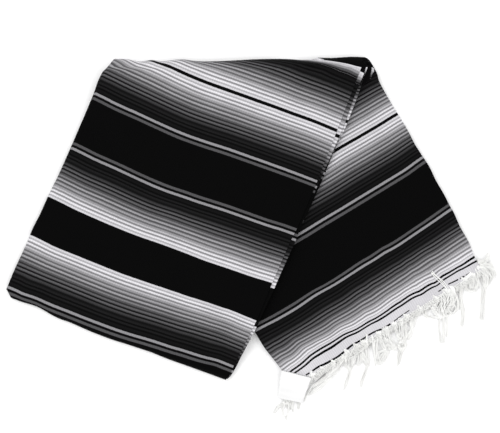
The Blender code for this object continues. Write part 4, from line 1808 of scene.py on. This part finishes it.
UPPER_LOCKS = (
    Lock(10, ((359, -37, 15, 3), (368, -37, 11, 4), (374, -31, 8, 4), (376, -22, 6, 1.5))),
    Lock(12, ((362, -42, 14, 2.5), (373, -42, 10, 4), (381, -47, 6, 5), (384, -56, 4, 5),
              (378, -68, 3, 3.5), (371, -79, 3, 2))),
    Lock(4, ((378, -37, 7, 2), (384, -45, 5, 2), (389, -55, 4, 1.5), (386, -63, 3, 1.5))),
    Lock(16, ((359, -45, 15, 3), (368, -52, 11, 6.5), (373, -63, 7, 7.5), (371, -77, 4, 3.5))),
    Lock(9, ((371, -72, 5, 3.5), (368, -91, 3, 4), (366, -111, 2, 4.5), (365, -131, 2, 4.5))),
    Lock(3, ((355, -50, 15, 1), (360, -66, 10, 1), (365, -83, 4, 1))),
    Lock(8, ((347, -55, 15, 2.5), (339, -63, 11, 3), (339, -76, 8, 3), (346, -83, 6, 2.5),
             (355, -80, 6, 2.5), (359, -69, 8, 2.5), (352, -61, 11, 2))),
    Lock(12, ((349, -56, 15, 4), (349, -68, 10, 5.5), (351, -79, 7, 5))),
    Lock(9, ((336, -64, 15, 4), (333, -77, 9, 3), (332, -95, 4, 3), (335, -115, 2.5, 3.5),
             (336, -128, 2, 3.5), (333, -141, 2, 3))),
    Lock(6, ((316, -77, 15, 2.5), (324, -91, 9, 2), (328, -104, 6, 2), (324, -115, 4, 2),
             (312, -122, 4, 2), (298, -126, 4, 2), (284, -123, 5, 1.5))),
    Lock(15, ((309, -82, 15, 6.5), (308, -93, 11, 7), (304, -104, 8, 6.5), (301, -115, 6, 6.5),
              (303, -125, 4, 5.5))),
    Lock(10, ((319, -79, 15, 3), (319, -93, 11, 4.5), (317, -106, 8, 4.5), (312, -118, 5, 3.5))),
    Lock(10, ((292, -93, 15, 5.5), (289, -103, 10, 5.5), (289, -112, 7, 4), (295, -122, 5, 3),
              (304, -126, 4, 2.5))),
    Lock(4, ((300, -123, 5, 2.5), (297, -138, 3, 2.5), (298, -153, 2, 2.5), (299, -168, 2, 2))),
    Lock(4, ((304, -123, 5, 2), (305, -142, 3, 2), (304, -169, 2, 2))),
    Lock(4, ((309, -122, 5, 2), (311, -139, 3, 2), (309, -161, 2, 1.5))),
    Lock(9, ((266, -109, 15, 5), (262, -120, 9, 4), (252, -133, 6, 3), (254, -145, 4, 2.5),
             (249, -161, 4, 2.5))),
    Lock(8, ((244, -122, 15, 4), (242, -134, 10, 3.5), (244, -150, 6, 3), (241, -165, 5, 2.5))),
    Lock(8, ((225, -134, 15, 4), (228, -145, 10, 3), (233, -157, 6, 3), (239, -168, 5, 2.5))),
    Lock(8, ((235, -128, 15, 4), (236, -142, 10, 4), (238, -155, 7, 3.5), (239, -168, 5, 3))),
    Lock(9, ((233, -166, 8, 2), (239, -163, 9, 2.5), (244, -169, 7, 2.5), (239, -176, 5, 2.5),
             (233, -174, 6, 2.5), (233, -168, 8, 2))),
    Lock(10, ((238, -173, 6, 3.5), (234, -187, 3, 4.5), (231, -204, 2, 2))),
    Lock(12, ((211, -142, 15, 5), (214, -155, 10, 5.5), (220, -166, 7, 5.5), (228, -176, 5, 4))),
    Lock(10, ((200, -149, 15, 4), (204, -161, 9, 5), (211, -174, 6, 5), (212, -185, 4, 4))),
    Lock(6, ((217, -179, 5, 2), (212, -193, 3, 2.5), (201, -200, 3, 2.5), (195, -192, 4, 2),
             (200, -182, 5, 2), (212, -176, 7, 2))),
    Lock(9, ((212, -177, 6, 4), (206, -188, 4, 5), (201, -198, 4, 4))),
    Lock(8, ((196, -161, 13, 4), (196, -176, 8, 4), (198, -192, 4, 3.5))),
    Lock(4, ((190, -155, 15, 1.5), (192, -173, 9, 1.5), (195, -190, 4, 1.5), (195, -204, 3, 1))),
    Lock(14, ((177, -163, 15, 5.5), (177, -177, 9, 6.5), (180, -192, 6, 5.5), (184, -204, 3, 3))),
    Lock(12, ((165, -169, 15, 5), (161, -182, 9, 5.5), (158, -195, 6, 5.5), (157, -206, 3, 3.5))),
    Lock(9, ((150, -179, 15, 4), (149, -190, 9, 5), (149, -201, 5, 4), (155, -209, 4, 3))),
    Lock(8, ((184, -201, 4, 3), (177, -219, 2, 3.5), (173, -231, 2, 2.5), (173, -238, 2, 1.5))),
    Lock(8, ((157, -204, 4, 3), (153, -219, 2, 3.5), (149, -231, 2, 3), (145, -242, 2, 1.5))),
    Lock(10, ((145, -188, 15, 3), (136, -201, 10, 3.5), (125, -214, 8, 3.5), (111, -225, 6, 3),
              (95, -236, 5, 2.5))),
    Lock(8, ((128, -195, 15, 4), (125, -206, 10, 4), (117, -217, 7, 3))),
    Lock(8, ((111, -206, 15, 4), (107, -215, 10, 4), (98, -225, 7, 3))),
    Lock(8, ((95, -215, 15, 4), (91, -225, 9, 4), (85, -233, 6, 3))),
    # Ends that lie back over the heading
    Lock(3, ((285, -54, 16, 2.4), (293, -61, 16, 2.6), (303, -71, 16, 2.6), (312, -83, 16, 2.4))),
    Lock(2, ((181, -152, 16, 1.5), (181, -161, 16, 1.5), (182, -169, 16, 1.5))),
    Lock(2, ((147, -177, 16, 1.5), (147, -187, 16, 1.5), (148, -196, 16, 1.5))),
    Lock(2, ((93, -211, 16, 1.5), (93, -216, 16, 1.5), (94, -220, 16, 1.5))),
)
LOWER_LOCKS = (
    Lock(4, ((346, -68, 5, 2), (352, -77, 4, 2), (357, -85, 3, 1.5))),
    Lock(3, ((324, -80, 5, 2), (322, -95, 6, 2), (312, -107, 9, 1), (319, -104, 9, 1),
             (324, -111, 8, 1), (319, -118, 7, 1), (312, -115, 7, 1))),
    Lock(3, ((293, -99, 5, 2), (292, -104, 9, 1), (285, -109, 9, 1), (289, -117, 8, 1),
             (295, -112, 9, 1), (290, -106, 9, 1))),
    Lock(8, ((277, -107, 5, 4), (274, -117, 5, 4), (279, -125, 4, 2.5), (289, -128, 4, 1.5))),
    Lock(6, ((255, -122, 5, 3), (258, -133, 5, 2.5), (252, -147, 4, 2), (244, -158, 5, 2))),
    Lock(8, ((215, -152, 5, 3), (217, -165, 5, 3.5), (219, -177, 4, 3))),
    Lock(4, ((188, -165, 5, 2), (174, -177, 10, 1.5), (160, -187, 10, 1.5), (147, -193, 8, 1.5),
             (138, -200, 5, 1.5))),
    Lock(8, ((168, -177, 5, 4), (171, -190, 6, 4), (168, -203, 4, 3))),
    Lock(10, ((139, -198, 5, 3.5), (130, -214, 4, 3.5), (117, -228, 3, 3), (103, -241, 3, 3),
              (88, -250, 2.5, 2))),
    Lock(6, ((95, -235, 4, 1.5), (88, -246, 3, 2), (83, -254, 2.5, 2), (82, -260, 2, 1.5))),
    Lock(14, ((319, -82, 5, 5.5), (316, -95, 5, 7), (311, -107, 4.5, 7.5), (304, -120, 4, 6))),
    Lock(9, ((292, -95, 5, 5), (293, -106, 5, 5.5), (298, -117, 4, 5))),
    Lock(8, ((236, -157, 5, 2.5), (238, -169, 5, 4), (236, -180, 4, 3.5))),
    Lock(8, ((144, -196, 6, 3), (133, -211, 5, 4), (118, -223, 4, 4), (103, -236, 3, 3.5),
             (90, -246, 2.5, 2.5))),
    Lock(10, ((63, -242, 4, 7), (60, -255, 4, 7.5), (58, -265, 3, 5.5), (56, -273, 2, 3))),
    Lock(8, ((61, -241, 4, 3), (56, -250, 5, 3), (53, -258, 6, 2.5))),
    Lock(6, ((50, -257, 6, 2), (55, -254, 7, 2), (58, -258, 6, 2), (53, -263, 5, 2),
             (48, -260, 6, 2))),
    Lock(8, ((55, -260, 5, 2), (45, -265, 3, 3), (39, -271, 2.5, 3), (33, -279, 2, 2))),
    Lock(4, ((52, -262, 5, 2), (48, -271, 3, 2), (48, -281, 2, 2), (55, -290, 2, 1.5))),
    Lock(3, ((56, -262, 5, 1.5), (57, -274, 3, 1.5), (53, -287, 2, 1.5))),
    Lock(6, ((63, -252, 5, 2.5), (63, -265, 4, 2.5), (64, -277, 2, 1.5))),
    Lock(6, ((74, -246, 4, 3), (74, -260, 3, 3), (72, -274, 2, 2))),
)


# Fine spans between two given points of a smooth path
FINE_SPANS = 12


def smooth_path(points: Sequence[Vector], step: float) -> list[Vector]:
    """Points at even steps on a smooth curve through the given ones.

    Args:
        points: points that the curve passes through.
        step: distance between the new points.

    Returns:
        The new points, both ends among them.
    """
    fine: list[Vector] = []
    for i in range(len(points) - 1):
        before, a = points[max(i - 1, 0)], points[i]
        b, after = points[i + 1], points[min(i + 2, len(points) - 1)]
        for share in shares(FINE_SPANS)[:-1]:
            x2, x3 = share ** 2, share ** 3
            fine.append((a * 2 + (b - before) * share + (before * 2 - a * 5 + b * 4 - after) * x2
                         + (a * 3 - b * 3 + after - before) * x3) / 2)
    fine.append(points[-1].copy())
    length = sum((b - a).length for a, b in zip(fine, fine[1:]))
    count = max(int(length / step), 2)
    out, done, k = [fine[0]], 0.0, 0
    for i in range(1, count):
        goal = length * i / count
        while done + (fine[k + 1] - fine[k]).length < goal:
            done += (fine[k + 1] - fine[k]).length
            k += 1
        gap = (fine[k + 1] - fine[k]).length
        out.append(fine[k].lerp(fine[k + 1], (goal - done) / gap))
    out.append(fine[-1])
    return out


@dataclass
class Yarns:
    """Plied yarns that become one mesh. Each yarn is two plies twisted round each other.

    ply is a ply's radius, pitch the length of one twist and step that of one span. The plies
    press a little into each other. At a frayed end they part by splay over splay_steps and grow
    thinner by taper over taper_steps.
    """

    ply: float = 0.44 * MM
    pitch: float = 6.4 * MM
    step: float = 1.6 * MM
    press: float = 0.92
    splay: float = 1.6
    splay_steps: int = 6
    taper: float = 0.45
    taper_steps: int = 4
    paths: list[tuple[list[Vector], list[float]]] = field(default_factory=list)

    def add(self, points: Sequence[Vector], thick: float = 1.0, frayed: bool = False,
            phase: float = 0.0) -> None:
        """Add one yarn along a smooth curve.

        Args:
            points: points that the yarn passes through.
            thick: its thickness against the usual one.
            frayed: opens its plies towards the last point.
            phase: turn of its twist.
        """
        path = smooth_path(points, self.step)
        normal = Vector((0.0, 0.0, 1.0))
        plies: tuple[list[Vector], list[Vector]] = ([], [])
        for i, point in enumerate(path):
            ahead = (path[min(i + 1, len(path) - 1)] - path[max(i - 1, 0)]).normalized()
            normal = (normal - ahead * normal.dot(ahead)).normalized()
            side = ahead.cross(normal)
            turn = phase + 2 * math.pi * i * self.step / self.pitch
            left = len(path) - i
            parted = ease((self.splay_steps - left) / self.splay_steps) if frayed else 0.0
            arm = self.ply * thick * (self.press + self.splay * parted)
            off = (normal * math.cos(turn) + side * math.sin(turn)) * arm
            for ply, sign in zip(plies, (1, -1)):
                moved = point + off * sign
                moved.z = max(moved.z, self.ply * thick)
                ply.append(moved)
        radii = [thick * (1 - self.taper * ease((self.taper_steps - left) / self.taper_steps)
                          * frayed) for left in range(len(path), 0, -1)]
        self.paths += [(ply, radii) for ply in plies]

    def mesh(self, name: str, finish: bpy.types.Material) -> bpy.types.Object:
        """Make one mesh of all the yarns.

        Args:
            name: name of the piece.
            finish: the yarn's material.

        Returns:
            The yarns' object.
        """
        curve = bpy.data.curves.new(name, "CURVE")
        curve.dimensions = "3D"
        curve.bevel_depth = self.ply
        curve.bevel_resolution = 0
        curve.use_fill_caps = True
        for points, radii in self.paths:
            spline = curve.splines.new("POLY")
            spline.points.add(len(points) - 1)
            for knot, point, radius in zip(spline.points, points, radii):
                knot.co = (*point, 1.0)
                knot.radius = radius
            spline.use_smooth = True
        holder = bpy.data.objects.new(name + "_curve", curve)
        bpy.context.scene.collection.objects.link(holder)
        bpy.context.view_layer.update()
        shaped = holder.evaluated_get(bpy.context.evaluated_depsgraph_get())
        data = bpy.data.meshes.new_from_object(shaped)
        data.name = name
        bpy.data.objects.remove(holder)
        bpy.data.curves.remove(curve)
        data.materials.clear()
        data.materials.append(finish)
        data.shade_smooth()
        piece = bpy.data.objects.new(name, data)
        bpy.context.scene.collection.objects.link(piece)
        return piece


@dataclass
class Fringe:
    """Locks of warp ends of one fringed end, with the corded edge that they hang from.

    low and high are the heights between which the ends leave the cloth, and step_out how far
    out they do. over_edge is set where the locks come over the edge of the top layer. The cord's
    two strands lie cord_lift above and below its middle, from cord_start to the same share
    before the other side.
    """

    name: str
    locks: Sequence[Lock]
    low: float
    high: float
    step_out: float
    over_edge: bool
    seed: int
    cord_lift: float = 0.9 * MM
    cord_out: float = 1.5 * MM
    cord_start: float = 0.012
    cord_spans: int = 24
    cord_thick: float = 1.5
    cord_phase: float = 1.6

    def edge_point(self, t: float, out: float) -> Vector:
        """Plan point on the fringed end at share t across."""
        return BACK.spot(1.0, t) + BACK.outward(1.0) * (self.step_out + out)

    def cord(self, yarns: Yarns) -> None:
        """Add the twined cord along the fringed end.

        Args:
            yarns: takes the cord's strands.
        """
        middle = (self.low + self.high) / 2
        reach = 1 - 2 * self.cord_start
        for k, lift in enumerate((-self.cord_lift, self.cord_lift)):
            points = [self.edge_point(self.cord_start + reach * t, SEAM + self.cord_out).to_3d()
                      + Vector((0, 0, middle + lift)) for t in shares(self.cord_spans)]
            yarns.add(points, thick=self.cord_thick, phase=k * self.cord_phase)

    def hem_ends(self, draw: random.Random, yarns: Yarns) -> None:
        """Add the short warp ends that lie side by side along the whole end.

        Args:
            draw: random draws.
            yarns: takes the ends.
        """
        for t in shares(HEM_ENDS)[1:-1]:
            points = []
            root = self.edge_point(t, HEM_RUN[0][0] * MM)
            height = self.rest(root) if self.over_edge else self.high
            for out, drop in (*HEM_RUN, (draw.uniform(*HEM_TIP), TIP_DROP)):
                place = self.edge_point(t + draw.uniform(-1, 1) * HEM_SWAY, out * MM)
                points.append(Vector((*place, max(height - drop * MM, YARN_RADIUS))))
            yarns.add(points, phase=draw.uniform(0, 6))

    def rest(self, point: Vector) -> float:
        """Height at which a yarn rests at a plan point: on the cloth or on the floor.

        Args:
            point: plan point.

        Returns:
            The height of a yarn's middle.
        """
        left, right = BACK.ends(1.0)
        out = (point - left).dot(BACK.outward(1.0))
        t = (point - left).dot(BACK.across(1.0)) / (right - left).length
        if not self.over_edge or out > OVERHANG or not 0 < t < 1:
            return YARN_RADIUS
        return back_level(point, 1.0, t)[1] + YARN_RADIUS

    def lock(self, lock: Lock, draw: random.Random, yarns: Yarns) -> None:
        """Add the yarns of one lock. Each keeps roughly to its own lane of it.

        Args:
            lock: the lock.
            draw: random draws.
            yarns: takes its yarns.
        """
        middles = [Vector(place[:3]) * MM for place in lock.run]
        last = len(middles) - 1
        for i in range(lock.yarns):
            lane = 2 * i / (lock.yarns - 1) - 1 if lock.yarns > 1 else 0.0
            lift = (i % 3 - 1) * LANE_LIFT if lock.yarns > 2 else 0.0
            points = []
            for k, middle in enumerate(middles):
                ahead = middles[min(k + 1, last)] - middles[max(k - 1, 0)]
                side = Vector((ahead.y, -ahead.x, 0.0)).normalized()
                sway = LANE_SWAY * math.sin(LANE_WAVES * k + LANE_PHASE * i)
                half = max(lock.run[k][3] * MM - YARN_RADIUS, 0.0)
                spot = middle + side * half * (lane + sway)
                spot += Vector((draw.uniform(-1, 1), draw.uniform(-1, 1), 0.0)) * LANE_LOOSE
                spot.z = max(middle.z + lift, self.rest(spot.xy))
                points.append(spot)
            if self.over_edge and middles[0].z > EDGE_HEIGHT:
                root = points[0] - BACK.outward(1.0).to_3d() * draw.uniform(1, 3) * MM
                root.z = self.rest(root.xy)
                points.insert(0, root)
            loose = middles[-1].z < LOOSE_HEIGHT
            if loose:
                points[-1] = points[-2].lerp(points[-1], draw.uniform(0.7, 1.05))
            yarns.add(points, frayed=loose, phase=draw.uniform(0, 6))

    def build(self, finish: bpy.types.Material) -> bpy.types.Object:
        """Make the fringe and dress it.

        Args:
            finish: the yarn's material.

        Returns:
            The fringe's object.
        """
        draw = random.Random(self.seed)
        yarns = Yarns()
        self.cord(yarns)
        self.hem_ends(draw, yarns)
        for lock in self.locks:
            self.lock(lock, draw, yarns)
        piece = yarns.mesh(self.name, finish)
        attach(piece, "root")
        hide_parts(self.name)
        LOG.info("%s: %d plies, %d faces", self.name, len(yarns.paths), len(piece.data.polygons))
        return piece


# ---- Label ----


@dataclass
class Label:
    """Bare woven label, stitched on at its upper edge and loose at the other one.

    stitched and free are both edges in plan. Each of rows has a share of the length and the
    height of the left and the right side there. The label bows up in its middle towards its
    free edge, and a crease crosses it.
    """

    stitched: tuple[tuple[float, float], tuple[float, float]] = (
        (0.0453, -0.2083), (0.0930, -0.2202))
    free: tuple[tuple[float, float], tuple[float, float]] = (
        (0.0390, -0.2536), (0.0787, -0.2616))
    rows: tuple[tuple[float, float, float], ...] = (
        (0.00, 17.4 * MM, 17.8 * MM), (0.30, 17.4 * MM, 17.6 * MM), (0.55, 17.2 * MM, 16.6 * MM),
        (0.80, 14.2 * MM, 14.4 * MM), (1.00, 10.8 * MM, 12.0 * MM))
    crease: float = 0.36
    crease_depth: float = 0.7 * MM
    crease_half: float = 0.035
    bow: float = 0.5 * MM
    thickness: float = 0.6 * MM
    cloth: tuple[float, float] = (0.044, 0.046)
    spans: tuple[int, int] = (30, 32)
    stitches: int = 15
    stitch_place: float = 0.012
    stitch_lift: float = 0.42 * MM

    def height(self, share: float, t: float) -> float:
        """Height of the label's face along its length and across it.

        Args:
            share: share of the length.
            t: share across.

        Returns:
            The height.
        """
        i = max(k for k in range(len(self.rows) - 1) if self.rows[k][0] <= share or k == 0)
        low, high = self.rows[i], self.rows[i + 1]
        x = ease((share - low[0]) / (high[0] - low[0]))
        left, right = (a + (b - a) * x for a, b in zip(low[1:], high[1:]))
        bow = self.bow * math.sin(math.pi * t) * share
        dent = self.crease_depth * math.exp(-((share - self.crease) / self.crease_half) ** 2)
        return left * (1 - t) + right * t + bow - dent

    def point(self, share: float, t: float) -> Vector:
        """Point of the label's face.

        Args:
            share: share of the length.
            t: share across.

        Returns:
            The point.
        """
        left = Vector(self.stitched[0]).lerp(Vector(self.free[0]), share)
        right = Vector(self.stitched[1]).lerp(Vector(self.free[1]), share)
        return Vector((*left.lerp(right, t), self.height(share, t)))

    def face(self, finish: bpy.types.Material) -> bpy.types.Object:
        """Make the label's cloth.

        Args:
            finish: the label's material.

        Returns:
            The cloth's object.
        """
        width, length = self.cloth
        rows = [[(self.point(share, t), t * width, share * length) for t in shares(self.spans[0])]
                for share in shares(self.spans[1])]
        piece = loose_grid("label_cloth", rows, flip=True)
        thicken(piece, self.thickness, -1.0, 0.15 * MM)
        piece.data.materials.append(finish)
        return piece

    def seam(self, thread: bpy.types.Material) -> bpy.types.Object:
        """Make the stitches that hold the label.

        Args:
            thread: the sewing thread's material.

        Returns:
            The stitches' object.
        """
        yarns = Yarns(ply=0.24 * MM, pitch=1.5 * MM, step=0.45 * MM)
        lift = Vector((0, 0, self.stitch_lift))
        for i in range(self.stitches):
            start = self.point(self.stitch_place, (i + 0.15) / self.stitches)
            end = self.point(self.stitch_place, (i + 0.97) / self.stitches)
            yarns.add([start, start.lerp(end, 0.25) + lift, start.lerp(end, 0.75) + lift, end])
        return yarns.mesh("label_stitches", thread)

    def build(self, finish: bpy.types.Material, thread: bpy.types.Material) -> None:
        """Make the label and the stitches that hold it.

        Args:
            finish: the label's material.
            thread: the sewing thread's material.
        """
        piece = self.face(finish)
        seam = self.seam(thread)
        for part in (piece, seam):
            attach(part, "root")
        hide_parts("label")
        LOG.info("label: %d faces and %d stitches", len(piece.data.polygons), self.stitches)


# ---- Studio ----


class Lamp(NamedTuple):
    """Soft round light: its name, its place, the width of its disk and its power in watts."""

    name: str
    place: tuple[float, float, float]
    size: float
    power: float


@dataclass(frozen=True)
class Studio:
    """Pale floor, soft lights and a camera straight above.

    The camera looks down on centre from distance above the floor. width is how much it shows
    across at subject_height, the middle height of the blanket's tops.
    """

    centre: tuple[float, float] = (-0.00477, 0.03578)
    width: float = 0.795
    distance: float = 4.4
    subject_height: float = 0.024
    sensor: float = 36.0
    clip_end: float = 50.0
    floor_half: float = 6.0
    air_strength: float = 0.975
    lamps: tuple[Lamp, ...] = (
        Lamp("key", (-0.7, 0.8, 3.0), 1.5, 28.0),
        Lamp("fill", (0.9, -0.5, 2.8), 2.0, 18.0))

    def floor(self) -> None:
        """Lay the floor."""
        mesh = bmesh.new()
        bmesh.ops.create_grid(mesh, x_segments=1, y_segments=1, size=self.floor_half)
        data = bpy.data.meshes.new("floor")
        mesh.to_mesh(data)
        mesh.free()
        data.materials.append(FloorFinish().build())
        piece = bpy.data.objects.new("floor", data)
        bpy.context.scene.collection.objects.link(piece)

    def light(self, row: Lamp) -> None:
        """Add one soft area light that faces the blanket.

        Args:
            row: the light's name, place, size and power.
        """
        data = bpy.data.lights.new(row.name, "AREA")
        data.shape = "DISK"
        data.size = row.size
        data.energy = row.power
        lamp = bpy.data.objects.new(row.name, data)
        lamp.location = row.place
        aim = Vector((*self.centre, 0.0)) - Vector(row.place)
        lamp.rotation_euler = aim.to_track_quat("-Z", "Y").to_euler()
        bpy.context.scene.collection.objects.link(lamp)

    def air(self) -> None:
        """Light the scene evenly from all round."""
        world = bpy.data.worlds.new("air")
        world.use_nodes = True
        background = world.node_tree.nodes["Background"]
        background.inputs["Color"].default_value = grey(1.0)
        background.inputs["Strength"].default_value = self.air_strength
        bpy.context.scene.world = world

    def camera(self) -> None:
        """Set the camera straight above."""
        data = bpy.data.cameras.new("overhead")
        data.sensor_width = self.sensor
        data.lens = self.sensor * (self.distance - self.subject_height) / self.width
        data.clip_end = self.clip_end
        camera = bpy.data.objects.new("overhead", data)
        camera.location = (*self.centre, self.distance)
        bpy.context.scene.collection.objects.link(camera)
        bpy.context.scene.camera = camera

    def build(self) -> None:
        """Set up the floor, the lights, the air and the camera."""
        self.floor()
        for lamp in self.lamps:
            self.light(lamp)
        self.air()
        settings = bpy.context.scene.view_settings
        settings.view_transform = "Standard"
        settings.look = "None"
        self.camera()
        LOG.info("studio: %d lights", len(self.lamps))


def main() -> None:
    """Build the blanket's sheets, fringes and label, then the studio."""
    logging.basicConfig(level=logging.INFO, format="%(name)s: %(message)s")
    Studio().build()
    groups = Groups(stripe_group(), weave_group(), fuzz_group())
    cloth = ClothFinish().build(groups)
    yarn = YarnFinish().build(groups)
    label = LabelFinish().build(groups)
    thread = YarnFinish("label_thread", (0.20, 0.20, 0.21), (0.14, 0.14, 0.15)).build(groups)
    Blanket().build(cloth)
    Fringe("fringe_upper", UPPER_LOCKS, 8.6 * MM, 13.8 * MM, 0.0, True, 11).build(yarn)
    Fringe("fringe_lower", LOWER_LOCKS, 0.3 * MM, 6.5 * MM, 3.5 * MM, False, 23).build(yarn)
    Label().build(label, thread)


if __name__ == "__main__":
    main()
